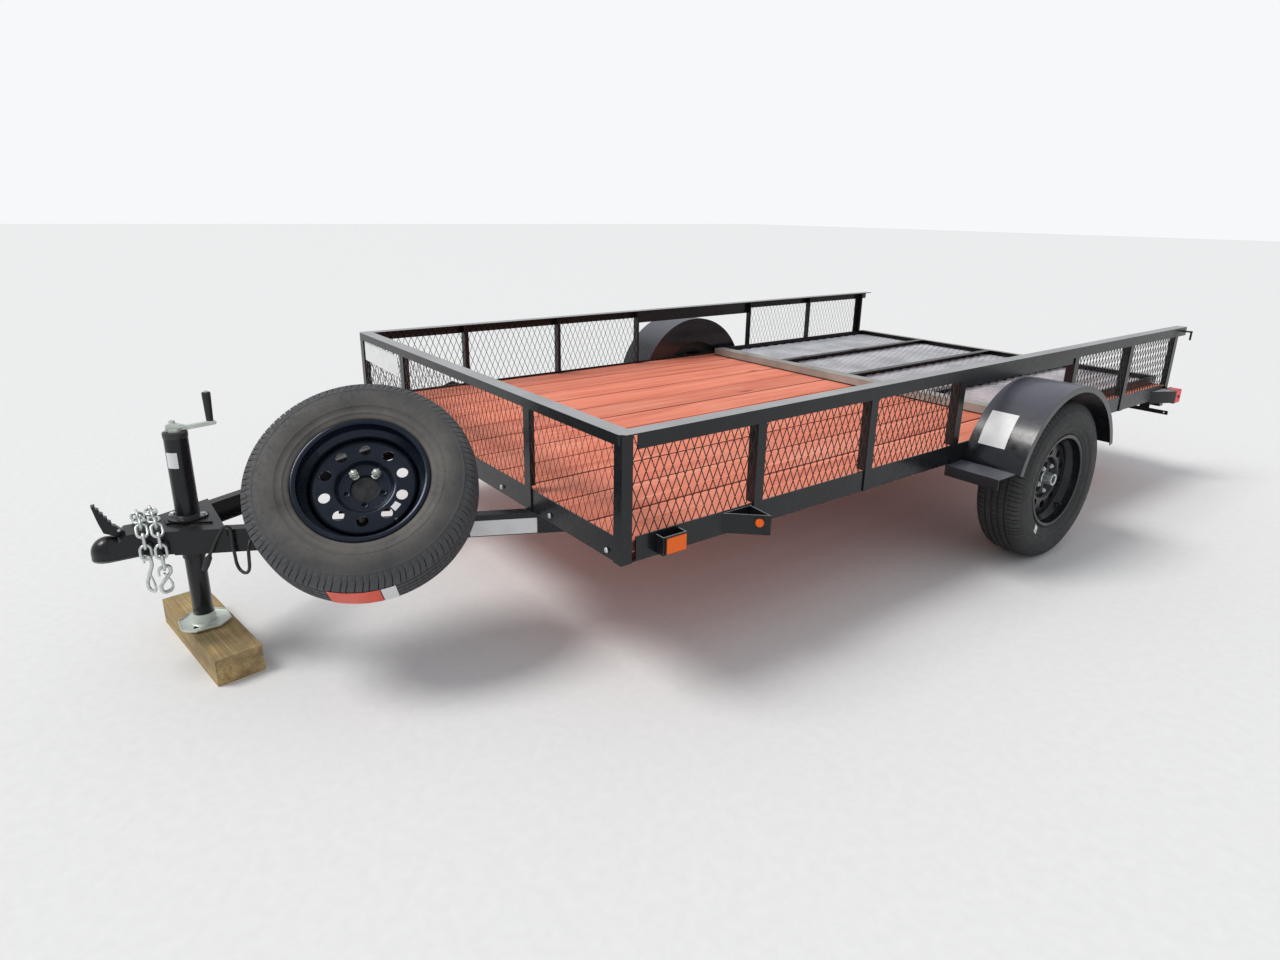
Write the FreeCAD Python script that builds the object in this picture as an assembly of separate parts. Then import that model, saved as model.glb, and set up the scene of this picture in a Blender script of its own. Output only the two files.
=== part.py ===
import FreeCAD, Part
import math
import os

# Single axle utility trailer, standing on its wheels and on its jack.
# Millimetres. +Z is up, -Y is the way it is towed, +X is its left side.
# The working frame has y = 0 at the front face of the bed frame.
# The finished pieces move along Y so that the origin lies under the middle of the whole trailer.

V = FreeCAD.Vector

# Bed frame
FRAME_WIDTH = 2134.0
FRAME_LENGTH = 3760.0
RAIL_BOTTOM = 454.0
RAIL_HEIGHT = 76.0
RAIL_LEG = 51.0
RAIL_THICK = 5.0
REAR_RAIL_DROP = 1.0
CROSS_HEIGHT = 51.0
CROSS_LEG = 38.0
CROSS_FROM_HANGER = 70.0

# Deck
BOARD_COUNT = 11
BOARD_WIDTH = 184.0
BOARD_THICK = 38.0
DECK_BELOW_RAIL = 10.0
BOARD_END_GAP = 1.0

# Fences
FENCE_HEIGHT = 309.0
POST_LEG = 38.0
POST_THICK = 5.0
SIDE_POSTS = (540.0, 1100.0, 1655.0, 2600.0, 3190.0)
FRONT_POST_X = 540.0
TOP_LEG_IN = 51.0
TOP_LEG_DOWN = 46.0
FRONT_TOP_LEG_DOWN = 32.0
TOP_THICK = 4.0
TOP_REAR_REACH = 85.0
CORNER_CHAMFER = 18.0
UPPER_PLATE_HEIGHT = 72.0

# Expanded metal
MESH_THICK = 3.0
MESH_STRAND = 4.0
MESH_PITCH_ALONG = 50.0
MESH_PITCH_UP = 98.0
GATE_MESH_PITCH_ALONG = 98.0
GATE_MESH_PITCH_ACROSS = 50.0
MESH_EDGE = 6.0

# Wheels: 205/75 R15
TYRE_RADIUS = 344.0
TYRE_WIDTH = 204.0
TYRE_FACETS = 60
TYRE_GAP_TO_RAIL = 30.0
BEAD_RADIUS = 190.5
BEAD_HALF = 70.0
RIM_LIP_RADIUS = 203.0
RIM_LIP_HALF = 86.0
RIM_WIDTH = 152.0
RIM_SHEET = 4.0
RIM_DROP = 22.0
RIM_SEAT_GAP = 0.3
DISC_BOLT_RADIUS = 57.15
DISC_OFFSET = 8.0
DISC_RING_RISE = 26.0
DISC_SHEET = 5.0
VENT_COUNT = 10
VENT_RADIUS = 17.5
VENT_RING = 119.0
LUG_COUNT = 5
LUG_RADIUS = 6.4
NUT_RADIUS = 11.8
NUT_HEIGHT = 24.0
HUB_BORE = 42.0
HUB_RADIUS = 70.0
HUB_CAP_RADIUS = 26.0
HUB_CAP_REACH = 42.0
SPINDLE_RADIUS = 17.0
SPINDLE_GAP = 0.05

# Axle and springs
AXLE_TUBE_RADIUS = 30.0
SPRING_WIDTH = 45.0
SPRING_LENGTH = 660.0
SPRING_THICK = 21.0
SPRING_INSET = 62.0
SPRING_SAG = 34.0
HANGER_THICK = 6.0

# Fenders
FENDER_WIDTH = 245.0
FENDER_RADIUS = 412.0
FENDER_SHEET = 3.0
FENDER_LIP = 26.0
STEP_LENGTH = 120.0
STEP_DROP = 40.0

# Tongue
TONGUE_HALF_DEG = 26.0
TONGUE_APEX_Y = -1160.0
TONGUE_HEIGHT = 76.0
TONGUE_LEG = 38.0
TONGUE_THICK = 5.0
TONGUE_REAR_Y = 560.0
TONGUE_FRONT_Y = -985.0

# Coupler for a two inch ball, pressed from sheet, over the front ends of the tongue members
BALL_RADIUS = 25.4
BALL_Z = 414.0
SOCKET_GAP = 0.4
SOCKET_WALL = 6.0
SOCKET_BOTTOM = 396.0
COUPLER_NOSE_Y = -1193.0
COUPLER_DOME_RADIUS = 46.0
COUPLER_DOME_Z = 404.0
COUPLER_HALF_WIDTH = 48.0
COUPLER_SHEET = 5.0
COUPLER_BOTTOM = 384.0
COUPLER_SADDLE = (22.0, 436.0)
COUPLER_SHOULDER = 49.0
COUPLER_TURN_Y = -934.0
COUPLER_REAR_Y = -845.0
COUPLER_REAR_BOTTOM = 432.0
LATCH_WIDTH = 25.0
LATCH_TEETH = 5
LATCH_TOOTH = 6.0

# Safety chains: square bar links over the coupler, held by a bolt on its right side.
# Each chain: place along the trailer, links that hang on the left, drop and turn of its hook.
LINK_LENGTH = 53.0
LINK_WIDTH = 37.0
LINK_BAR = 8.0
LINK_GAP = 0.3
LINKS_OVER = 6
LINK_PASSES = 12
CHAINS = ((-1058.0, 2, 113.0, 30.0), (-1020.0, 3, 82.0, 110.0))
CHAIN_BOLT_RADIUS = 6.0
CHAIN_BOLT_HEAD = 12.0

# Jack
JACK_Y = -925.0
JACK_TUBE_RADIUS = 34.0
JACK_LEG_RADIUS = 30.0
JACK_TUBE_TOP = 745.0
JACK_TUBE_BOTTOM = 330.0
JACK_RUN_GAP = 0.3
JACK_OVERLAP = 120.0
JACK_PLATE_Y = (-990.0, -870.0)
JACK_PLATE_HALF = (24.0, 86.0)
JACK_PLATE_THICK = 6.0
JACK_FLANGE_RADIUS = 58.0
JACK_BOLT_RING = 47.0
JACK_BOLT_DEG = (54.0, 174.0, 234.0)
CRANK_REACH = 118.0
FOOT_SIZE = 150.0
FOOT_CORNER = 40.0
FOOT_THICK = 5.0
FOOT_LIP = 12.0
FOOT_COLLAR = 22.0

# Wiring lead: out of a gland on the left tongue member, down in a loop, up, and down to its plug.
# A point of the route is given by how far it is out from the web, how far forward, and its height.
LEAD_RADIUS = 4.0
LEAD_GLAND_Y = -775.0
LEAD_GLAND_RADIUS = 9.0
LEAD_ROUTE = ((12, 0, 432), (38, 0, 432), (57, 4, 414), (58, 6, 378), (57, 8, 341), (44.5, 22.5, 322),
              (27, 43, 322), (14.5, 57.4, 341), (13, 59, 378), (16, 62, 408), (13, 60, 438), (12, 62, 467),
              (12, 80, 471), (14, 98, 443), (16, 117, 408), (15, 132, 374))
PLUG_RADIUS = 10.0
PLUG_LENGTH = 50.0

# Block of timber under the jack
BLOCK_LENGTH = 540.0
BLOCK_WIDTH = 140.0
BLOCK_HEIGHT = 89.0
BLOCK_TURN_DEG = 8.0

# Spare wheel: centre of its outer face and the way that it faces
SPARE_CENTRE = (440.0, -508.0, 641.0)
SPARE_AZIMUTH_DEG = 64.0
SPARE_TILT_DEG = 44.0
SPARE_PLATE = 150.0
SPARE_PLATE_THICK = 6.0
SPARE_NUTS = (2, 3)
SPARE_NUT_RADIUS = 14.5
SPARE_NUT_HEIGHT = 16.0

# Lamps
REFLECTOR_Y = (127.0, 216.0)
REFLECTOR_Z = (464.0, 521.0)
REFLECTOR_REACH = 36.0
REFLECTOR_SHEET = 4.0
REFLECTOR_THICK = 8.0
MARKER_Y = (388.0, 509.0)
MARKER_TIP = (1165.0, 498.0)
MARKER_Z = (461.0, 526.0)
MARKER_ALONG = 0.767
MARKER_LAMP_Z = 503.0
MARKER_RADIUS = 13.5
TAIL_X = (1075.0, 1133.0)
TAIL_Y = (3700.0, 3782.0)
TAIL_Z = (432.0, 510.0)
LICENCE_X = 988.0
LICENCE_Z = 366.0
LICENCE_BAR = (216.0, 22.0)
LICENCE_STEM = (950.0, 1000.0)
LICENCE_SHEET = 4.0
LICENCE_HOLES = 177.8
LICENCE_HOLE_RADIUS = 3.4
LICENCE_LAMP = (58.0, 40.0, 50.0)

# Ramp gate, folded flat on the deck
GATE_LENGTH = 1545.0
GATE_HALF_WIDTH = 1000.0
GATE_CLEAR = 5.0
GATE_BAR = 38.0
GATE_BAR_THICK = 4.0
GATE_FRONT_BAR = 76.0
GATE_INNER_BARS = 3
HINGE_BEHIND = 30.0
GATE_HINGE_GAP = 20.0
HINGE_PIN_RADIUS = 8.0
HINGE_TUBE_RADIUS = 13.0
HINGE_RUN_GAP = 0.1
HINGE_LENGTH = 60.0
HINGE_EAR_RADIUS = 14.0
HINGE_EAR_THICK = 8.0
HINGE_EAR_HEIGHT = 43.0

HALF_WIDTH = FRAME_WIDTH / 2
RAIL_X = HALF_WIDTH - POST_THICK
RAIL_TOP = RAIL_BOTTOM + RAIL_HEIGHT
DECK_TOP = RAIL_TOP - DECK_BELOW_RAIL
BOARD_BOTTOM = DECK_TOP - BOARD_THICK
FENCE_TOP = RAIL_TOP + FENCE_HEIGHT
TOP_X = HALF_WIDTH + TOP_THICK
AXLE_Y = (SIDE_POSTS[2] + SIDE_POSTS[3]) / 2
WHEEL_X = RAIL_X + TYRE_GAP_TO_RAIL + TYRE_WIDTH / 2
REAR_END = FRAME_LENGTH + TOP_REAR_REACH
MIDDLE_Y = (COUPLER_NOSE_Y + REAR_END) / 2
BALL_Y = COUPLER_NOSE_Y + COUPLER_DOME_RADIUS
COUPLER_TOP = RAIL_BOTTOM + COUPLER_SHEET


def along_x(outline, x0, x1):
    points = [V(x0, y, z) for y, z in outline]
    return Part.Face(Part.makePolygon(points + points[:1])).extrude(V(x1 - x0, 0, 0))


def along_y(outline, y0, y1):
    points = [V(x, y0, z) for x, z in outline]
    return Part.Face(Part.makePolygon(points + points[:1])).extrude(V(0, y1 - y0, 0))


def along_z(outline, z0, z1):
    points = [V(x, y, z0) for x, y in outline]
    return Part.Face(Part.makePolygon(points + points[:1])).extrude(V(0, 0, z1 - z0))


def block(x0, y0, z0, x1, y1, z1):
    return Part.makeBox(x1 - x0, y1 - y0, z1 - z0, V(x0, y0, z0))


def mirrored(shape):
    return shape.mirror(V(0, 0, 0), V(1, 0, 0))


def fused(shapes):
    return shapes[0].fuse(shapes[1:]).removeSplitter()


def group(shapes):
    return Part.makeCompound(shapes)


def both_sides(shapes):
    return group(shapes + [mirrored(shape) for shape in shapes])


def revolved(outline):
    # The outline is in the X-Z plane, with x the radius and z the way along the axis.
    points = [V(r, 0, h) for r, h in outline]
    return Part.Face(Part.makePolygon(points + points[:1])).revolve(V(0, 0, 0), V(0, 0, 1), 360)


def hexagon(radius, height, base):
    corners = [base + V(radius * math.cos(k * math.pi / 3), radius * math.sin(k * math.pi / 3), 0) for k in range(6)]
    return Part.Face(Part.makePolygon(corners + corners[:1])).extrude(V(0, 0, height))


def facing(origin, axis):
    # Turns a piece drawn along +Z so that it looks along the axis, with its own +Y kept upward.
    up = V(0, 0, 1) - axis * axis.z
    up.normalize()
    return FreeCAD.Placement(origin, FreeCAD.Rotation(up.cross(axis), up, axis, "ZYX"))


def lug_angle(i):
    return 2 * math.pi * i / LUG_COUNT - math.pi / 2


# Bed frame

def side_rail():
    x = RAIL_X
    outline = [(x, RAIL_BOTTOM), (x, RAIL_TOP), (x - RAIL_THICK, RAIL_TOP),
               (x - RAIL_THICK, RAIL_BOTTOM + RAIL_THICK), (x - RAIL_LEG, RAIL_BOTTOM + RAIL_THICK),
               (x - RAIL_LEG, RAIL_BOTTOM)]
    return along_y(outline, POST_THICK + RAIL_LEG, FRAME_LENGTH - POST_THICK - RAIL_LEG)


def end_rail(face_y, inward, top):
    y = face_y
    outline = [(y, RAIL_BOTTOM), (y, top), (y + inward * RAIL_THICK, top),
               (y + inward * RAIL_THICK, RAIL_BOTTOM + RAIL_THICK),
               (y + inward * RAIL_LEG, RAIL_BOTTOM + RAIL_THICK), (y + inward * RAIL_LEG, RAIL_BOTTOM)]
    return along_x(outline, -RAIL_X, RAIL_X)


def front_rail():
    return end_rail(POST_THICK, 1, RAIL_TOP)


def rear_rail():
    return end_rail(FRAME_LENGTH - POST_THICK, -1, DECK_TOP - REAR_RAIL_DROP)


def crossmember_places():
    # One at the tongue's end, one each side of the springs, and one in the middle of each stretch left.
    first = TONGUE_REAR_Y
    last = FRAME_LENGTH - POST_THICK - RAIL_LEG
    reach = SPRING_LENGTH / 2 + CROSS_FROM_HANGER
    before = AXLE_Y - reach - CROSS_LEG
    after = AXLE_Y + reach
    return [first, (first + before) / 2, before, after, (after + last) / 2]


def crossmembers():
    half = RAIL_X - RAIL_LEG
    top = BOARD_BOTTOM
    bars = []
    for y in crossmember_places():
        outline = [(y, top - CROSS_HEIGHT), (y, top), (y + CROSS_LEG, top),
                   (y + CROSS_LEG, top - RAIL_THICK), (y + RAIL_THICK, top - RAIL_THICK),
                   (y + RAIL_THICK, top - CROSS_HEIGHT)]
        bars.append(along_x(outline, -half, half))
    return group(bars)


def deck_boards():
    inner = RAIL_X - RAIL_THICK
    gap = 2 * inner / BOARD_COUNT - BOARD_WIDTH
    y0 = POST_THICK + RAIL_THICK + BOARD_END_GAP
    y1 = FRAME_LENGTH - POST_THICK - RAIL_THICK - BOARD_END_GAP
    boards = []
    for i in range(BOARD_COUNT):
        x = -inner + gap / 2 + i * (BOARD_WIDTH + gap)
        boards.append(block(x, y0, BOARD_BOTTOM, x + BOARD_WIDTH, y1, DECK_TOP))
    return group(boards)


# Fences

def post_top():
    return FENCE_TOP - TOP_THICK


def corner_post(y, inward):
    x = HALF_WIDTH
    outline = [(x, y), (x, y + inward * POST_LEG), (x - POST_THICK, y + inward * POST_LEG),
               (x - POST_THICK, y + inward * POST_THICK), (x - POST_LEG, y + inward * POST_THICK),
               (x - POST_LEG, y)]
    return along_z(outline, RAIL_BOTTOM, post_top())


def side_post(y):
    x = HALF_WIDTH
    half = POST_LEG / 2
    plate = block(x - POST_THICK, y - half, RAIL_BOTTOM, x, y + half, post_top())
    web_bottom = RAIL_TOP
    web = block(x - POST_LEG, y - half, web_bottom, x, y - half + POST_THICK, post_top())
    return fused([plate, web])


def front_post(x):
    half = POST_LEG / 2
    plate = block(x - half, 0, RAIL_BOTTOM, x + half, POST_THICK, post_top())
    web = block(x - half, 0, RAIL_TOP, x - half + POST_THICK, POST_LEG, post_top())
    return fused([plate, web])


def posts():
    uprights = [corner_post(0, 1)]
    uprights += [side_post(y) for y in SIDE_POSTS]
    uprights.append(corner_post(FRAME_LENGTH, -1))
    return group(uprights)


def front_posts():
    return group([front_post(-FRONT_POST_X), front_post(FRONT_POST_X)])


def side_top_rail():
    x = TOP_X
    outline = [(x, FENCE_TOP), (x - TOP_LEG_IN, FENCE_TOP), (x - TOP_LEG_IN, FENCE_TOP - TOP_THICK),
               (x - TOP_THICK, FENCE_TOP - TOP_THICK), (x - TOP_THICK, FENCE_TOP - TOP_LEG_DOWN),
               (x, FENCE_TOP - TOP_LEG_DOWN)]
    return along_y(outline, TOP_LEG_IN, REAR_END)


def front_top_rail():
    y = -TOP_THICK
    low = FENCE_TOP - FRONT_TOP_LEG_DOWN
    outline = [(y, FENCE_TOP), (TOP_LEG_IN, FENCE_TOP), (TOP_LEG_IN, FENCE_TOP - TOP_THICK),
               (0, FENCE_TOP - TOP_THICK), (0, low), (y, low)]
    bar = along_x(outline, -TOP_X, TOP_X)
    for side in (-1, 1):
        x = side * TOP_X
        cut = [(x + side, y - 1), (x - side * CORNER_CHAMFER, y - 1), (x + side, y + CORNER_CHAMFER)]
        bar = bar.cut(along_z(cut, low - 1, FENCE_TOP + 1))
    return bar


def diamond_sheet(length, height, pitch_along, pitch_up, to_world, thickness):
    # A flat sheet with staggered diamond openings; strands are as wide as they are thick.
    outer = [(0, 0), (length, 0), (length, height), (0, height)]
    wires = [Part.makePolygon([to_world(u, v) for u, v in outer + outer[:1]])]
    columns = int((length - 2 * MESH_EDGE) // pitch_along)
    rows = int((height - 2 * MESH_EDGE) // pitch_up)
    pitch_u = (length - 2 * MESH_EDGE) / columns
    pitch_v = (height - 2 * MESH_EDGE) / rows
    half_u = pitch_u / 2 - MESH_STRAND
    half_v = pitch_v / 2 - MESH_STRAND * pitch_v / pitch_u / 1.5
    for i in range(2 * columns - 1):
        for j in range(2 * rows - 1):
            if (i + j) % 2:
                continue
            u = MESH_EDGE + pitch_u * (i + 1) / 2
            v = MESH_EDGE + pitch_v * (j + 1) / 2
            corners = [(u - half_u, v), (u, v + half_v), (u + half_u, v), (u, v - half_v)]
            wires.append(Part.makePolygon([to_world(a, b) for a, b in corners + corners[:1]]))
    face = Part.makeFace(wires, "Part::FaceMakerBullseye")
    return face.extrude(thickness)


def mesh_bay(y0, y1, low, high):
    x = HALF_WIDTH - POST_THICK
    return diamond_sheet(y1 - y0, high - low, MESH_PITCH_ALONG, MESH_PITCH_UP,
                         lambda u, v: V(x, y0 + u, low + v), V(-MESH_THICK, 0, 0))


def side_mesh():
    half = POST_LEG / 2
    low = RAIL_TOP
    high = FENCE_TOP - TOP_THICK
    edges = [POST_THICK + MESH_THICK + 1] + list(SIDE_POSTS) + [FRAME_LENGTH - POST_THICK]
    bays = []
    for i in range(len(edges) - 1):
        if i == 3:
            continue
        start = edges[i] if i == 0 else edges[i] - half + POST_THICK
        end = edges[i + 1] - half if i < len(edges) - 2 else edges[i + 1]
        bays.append(mesh_bay(start, end, low, high))
    return group(bays)


def front_mesh():
    half = POST_LEG / 2
    edge = HALF_WIDTH - POST_THICK
    xs = [(-edge, -FRONT_POST_X - half), (-FRONT_POST_X - half + POST_THICK, FRONT_POST_X - half),
          (FRONT_POST_X - half + POST_THICK, edge)]
    low = RAIL_TOP
    high = FENCE_TOP - TOP_THICK
    bays = []
    for x0, x1 in xs:
        bays.append(diamond_sheet(x1 - x0, high - low, MESH_PITCH_ALONG, MESH_PITCH_UP,
                                  lambda u, v, a=x0: V(a + u, POST_THICK, low + v), V(0, MESH_THICK, 0)))
    return group(bays)


def upper_plate():
    # The plate that closes the fence above the fender.
    half = POST_LEG / 2
    x = HALF_WIDTH - POST_THICK
    top = FENCE_TOP - TOP_THICK
    low = top - UPPER_PLATE_HEIGHT
    return block(x - MESH_THICK, SIDE_POSTS[2] - half + POST_THICK, low, x, SIDE_POSTS[3] - half, top)


# Wheels

def tyre_section():
    # Half of the section, from the bead over the side wall to the tread: radius and distance from the middle.
    half = TYRE_WIDTH / 2
    bead = BEAD_RADIUS / math.cos(math.pi / TYRE_FACETS)
    return [(bead, BEAD_HALF), (RIM_LIP_RADIUS + 8, RIM_LIP_HALF), (268, half), (312, half - 9),
            (337, half - 28), (TYRE_RADIUS, 45)]


def tyre_at(origin, axis):
    # A ring of flat facets, with a corner straight down on the floor.
    half = tyre_section()
    outline = [(r, -h) for r, h in half] + [(r, h) for r, h in reversed(half)]
    sections = []
    for i in range(TYRE_FACETS):
        a = 2 * math.pi * i / TYRE_FACETS - math.pi / 2
        sections.append([V(r * math.cos(a), r * math.sin(a), h) for r, h in outline])
    faces = []
    for i in range(TYRE_FACETS):
        for j in range(len(outline)):
            corners = [sections[i - 1][j - 1], sections[i][j - 1], sections[i][j], sections[i - 1][j]]
            faces.append(Part.Face(Part.makePolygon(corners + corners[:1])))
    shell = Part.makeShell(faces)
    shell.sewShape()
    tyre = Part.makeSolid(shell)
    tyre.Placement = facing(origin, axis)
    return tyre


def rim_at(origin, axis):
    # Barrel with its two lips, and the disc with its raised ring of vent holes.
    seat = BEAD_RADIUS - RIM_SEAT_GAP
    inner = seat - RIM_SHEET
    drop = seat - RIM_DROP
    drop_inner = drop - RIM_SHEET
    outside = [(RIM_LIP_RADIUS, RIM_LIP_HALF), (RIM_LIP_RADIUS, RIM_LIP_HALF - 4.5), (seat, RIM_WIDTH / 2 - 0.5),
               (seat, 52), (drop, 26)]
    inside = [(drop_inner, 28), (inner, 54), (inner, RIM_LIP_HALF - 3)]
    barrel = [(r, -h) for r, h in outside] + [(r, h) for r, h in reversed(outside)]
    barrel += [(r, h) for r, h in reversed(inside)] + [(r, -h) for r, h in inside]
    d = DISC_OFFSET
    t = DISC_SHEET
    ring = d + DISC_RING_RISE
    edge = drop_inner + 1
    front = [(HUB_BORE, d), (75, d), (81, d + 7), (88, ring - 4), (99, ring), (138, ring - 1), (152, ring - 9),
             (160, d), (edge, d - 10)]
    back = [(edge, d - 16), (155, d - 2), (147, ring - 12), (136, ring - 6), (100, ring - t), (92, ring - 7),
            (86, d + 5), (79, d - t), (HUB_BORE, d - t)]
    rim = revolved(barrel).fuse(revolved(front + back))
    holes = []
    for count, radius_at, radius in ((VENT_COUNT, VENT_RING, VENT_RADIUS), (LUG_COUNT, DISC_BOLT_RADIUS, LUG_RADIUS)):
        for i in range(count):
            a = 2 * math.pi * i / count - math.pi / 2
            at = V(radius_at * math.cos(a), radius_at * math.sin(a), d - 20)
            holes.append(Part.makeCylinder(radius, 60, at))
    rim = rim.cut(Part.makeCompound(holes)).removeSplitter()
    rim.Placement = facing(origin, axis)
    return rim


def wheel_centre():
    return V(WHEEL_X, AXLE_Y, TYRE_RADIUS)


def hub():
    # Drum and flange behind the disc, the cap in front of it and five studs with their nuts.
    d = DISC_OFFSET
    back = d - DISC_SHEET
    bore = SPINDLE_RADIUS + SPINDLE_GAP
    outline = [(bore, back - 60), (HUB_RADIUS - 24, back - 60), (HUB_RADIUS - 24, back - 12),
               (HUB_RADIUS, back - 12), (HUB_RADIUS, back), (HUB_BORE - 1, back), (HUB_BORE - 1, d + 4),
               (HUB_CAP_RADIUS, d + 4), (HUB_CAP_RADIUS, d + HUB_CAP_REACH), (0, d + HUB_CAP_REACH),
               (0, d + 16), (bore, d + 16)]
    solids = [revolved(outline)]
    for i in range(LUG_COUNT):
        a = lug_angle(i)
        c = V(DISC_BOLT_RADIUS * math.cos(a), DISC_BOLT_RADIUS * math.sin(a), back - 1)
        solids.append(Part.makeCylinder(LUG_RADIUS - RIM_SEAT_GAP, DISC_SHEET + 2, c))
        solids.append(hexagon(NUT_RADIUS, NUT_HEIGHT, c + V(0, 0, DISC_SHEET + 1)))
    shape = fused(solids)
    shape.Placement = facing(wheel_centre(), V(1, 0, 0))
    return shape


# Axle and springs

def spring_x():
    return RAIL_X - SPRING_INSET


def axle():
    inner_end = WHEEL_X + DISC_OFFSET - DISC_SHEET - 66
    tube = Part.makeCylinder(AXLE_TUBE_RADIUS, 2 * inner_end, V(-inner_end, AXLE_Y, TYRE_RADIUS), V(1, 0, 0))
    reach = WHEEL_X + DISC_OFFSET + 14
    spindle = Part.makeCylinder(SPINDLE_RADIUS, 2 * reach, V(-reach, AXLE_Y, TYRE_RADIUS), V(1, 0, 0))
    return fused([tube, spindle])


def leaf_spring():
    # A pack of leaves as one curved bar, lying on the axle tube, with an eye at each end.
    half = SPRING_LENGTH / 2
    low = TYRE_RADIUS + AXLE_TUBE_RADIUS
    x0 = spring_x() - SPRING_WIDTH / 2
    t = SPRING_THICK
    bottom = Part.Arc(V(x0, AXLE_Y - half, low + SPRING_SAG), V(x0, AXLE_Y, low),
                      V(x0, AXLE_Y + half, low + SPRING_SAG)).toShape()
    top = Part.Arc(V(x0, AXLE_Y + half, low + SPRING_SAG + 7), V(x0, AXLE_Y, low + t),
                   V(x0, AXLE_Y - half, low + SPRING_SAG + 7)).toShape()
    ends = [Part.makeLine(V(x0, AXLE_Y + half, low + SPRING_SAG), V(x0, AXLE_Y + half, low + SPRING_SAG + 7)),
            Part.makeLine(V(x0, AXLE_Y - half, low + SPRING_SAG + 7), V(x0, AXLE_Y - half, low + SPRING_SAG))]
    bar = Part.Face(Part.Wire([bottom, ends[0], top, ends[1]])).extrude(V(SPRING_WIDTH, 0, 0))
    eyes = [Part.makeCylinder(13, SPRING_WIDTH, V(x0, AXLE_Y + s * half, low + SPRING_SAG + 4), V(1, 0, 0))
            for s in (-1, 1)]
    return fused([bar] + eyes)


def spring_hangers():
    # A pair of plates at each eye, joined by the bolt through the eye, under the bottom leg of the rail.
    half = SPRING_LENGTH / 2
    z = TYRE_RADIUS + AXLE_TUBE_RADIUS + SPRING_SAG + 4
    gap = SPRING_WIDTH / 2 + 0.3
    hangers = []
    for s in (-1, 1):
        y = AXLE_Y + s * half
        plates = [block(spring_x() + a, y - 24, z - 22, spring_x() + a + HANGER_THICK, y + 24, RAIL_BOTTOM)
                  for a in (-gap - HANGER_THICK, gap)]
        bridge = block(spring_x() - gap, y - 24, RAIL_BOTTOM - 6, spring_x() + gap, y + 24, RAIL_BOTTOM)
        hangers.append(fused(plates + [bridge]))
    return hangers


# Fenders

def fender():
    # A round fender: the curved sheet, its outer lip, the inner back plate and the step at its front foot.
    r = FENDER_RADIUS
    x_in = RAIL_X
    x_out = x_in + FENDER_WIDTH
    t = FENDER_SHEET
    foot_z = RAIL_BOTTOM - t
    foot_angle = math.asin((foot_z - TYRE_RADIUS) / r)
    c = V(0, AXLE_Y, TYRE_RADIUS)

    def sector(radius_in, radius_out, x0, x1):
        a0 = foot_angle
        a1 = math.pi - foot_angle

        def at(radius, angle):
            return V(x0, c.y + radius * math.cos(angle), c.z + radius * math.sin(angle))
        mid = (a0 + a1) / 2
        outer = Part.Arc(at(radius_out, a0), at(radius_out, mid), at(radius_out, a1)).toShape()
        inner = Part.Arc(at(radius_in, a1), at(radius_in, mid), at(radius_in, a0)).toShape()
        edges = [outer, Part.makeLine(at(radius_out, a1), at(radius_in, a1)), inner,
                 Part.makeLine(at(radius_in, a0), at(radius_out, a0))]
        return Part.Face(Part.Wire(edges)).extrude(V(x1 - x0, 0, 0))

    sheet = sector(r - t, r, x_in, x_out)
    lip = sector(r - FENDER_LIP, r, x_out - t, x_out)
    back = sector(r - 150, r, x_in, x_in + t)
    foot_y = AXLE_Y - r * math.cos(foot_angle)
    step = block(x_in, foot_y - STEP_LENGTH, foot_z, x_out - 20, foot_y + t, foot_z + t)
    drop = block(x_in, foot_y - STEP_LENGTH, foot_z - STEP_DROP, x_out - 20, foot_y - STEP_LENGTH + t, foot_z + t)
    return fused([sheet, lip, back, step, drop])


# Tongue

def tongue_member():
    # A channel from the coupler, under the front rail, to the first crossmember; its web is outside.
    slope = math.tan(math.radians(TONGUE_HALF_DEG))

    def x_at(y):
        return (y - TONGUE_APEX_Y) * slope
    top = RAIL_BOTTOM
    bottom = top - TONGUE_HEIGHT
    wide = TONGUE_LEG / math.cos(math.radians(TONGUE_HALF_DEG))
    thin = TONGUE_THICK / math.cos(math.radians(TONGUE_HALF_DEG))
    y0 = TONGUE_FRONT_Y
    y1 = TONGUE_REAR_Y

    def strip(width, z0, z1):
        plan = [(x_at(y0), y0), (x_at(y1), y1), (x_at(y1) - width, y1), (x_at(y0) - width, y0)]
        return along_z(plan, z0, z1)
    return fused([strip(thin, bottom, top), strip(wide, bottom, bottom + TONGUE_THICK),
                  strip(wide, top - TONGUE_THICK, top)])


def tongue_edge_x(y):
    return (y - TONGUE_APEX_Y) * math.tan(math.radians(TONGUE_HALF_DEG))


def tongue_plate():
    # The three cornered plate on the coupler, which carries the jack.
    front, rear = JACK_PLATE_Y
    narrow, wide = JACK_PLATE_HALF
    plate = along_z([(narrow, front), (wide, rear), (-wide, rear), (-narrow, front)],
                    COUPLER_TOP, COUPLER_TOP + JACK_PLATE_THICK)
    return plate.cut(jack_passage())


def jack_passage():
    # The round way that the jack's tube takes through the coupler's top and the plate on it.
    return Part.makeCylinder(JACK_TUBE_RADIUS + JACK_RUN_GAP, 40, V(0, JACK_Y, RAIL_BOTTOM - 10))


def coupler_half(y):
    # Half of the coupler's width where it flares with the tongue.
    return tongue_edge_x(y) + COUPLER_SHEET


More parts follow.
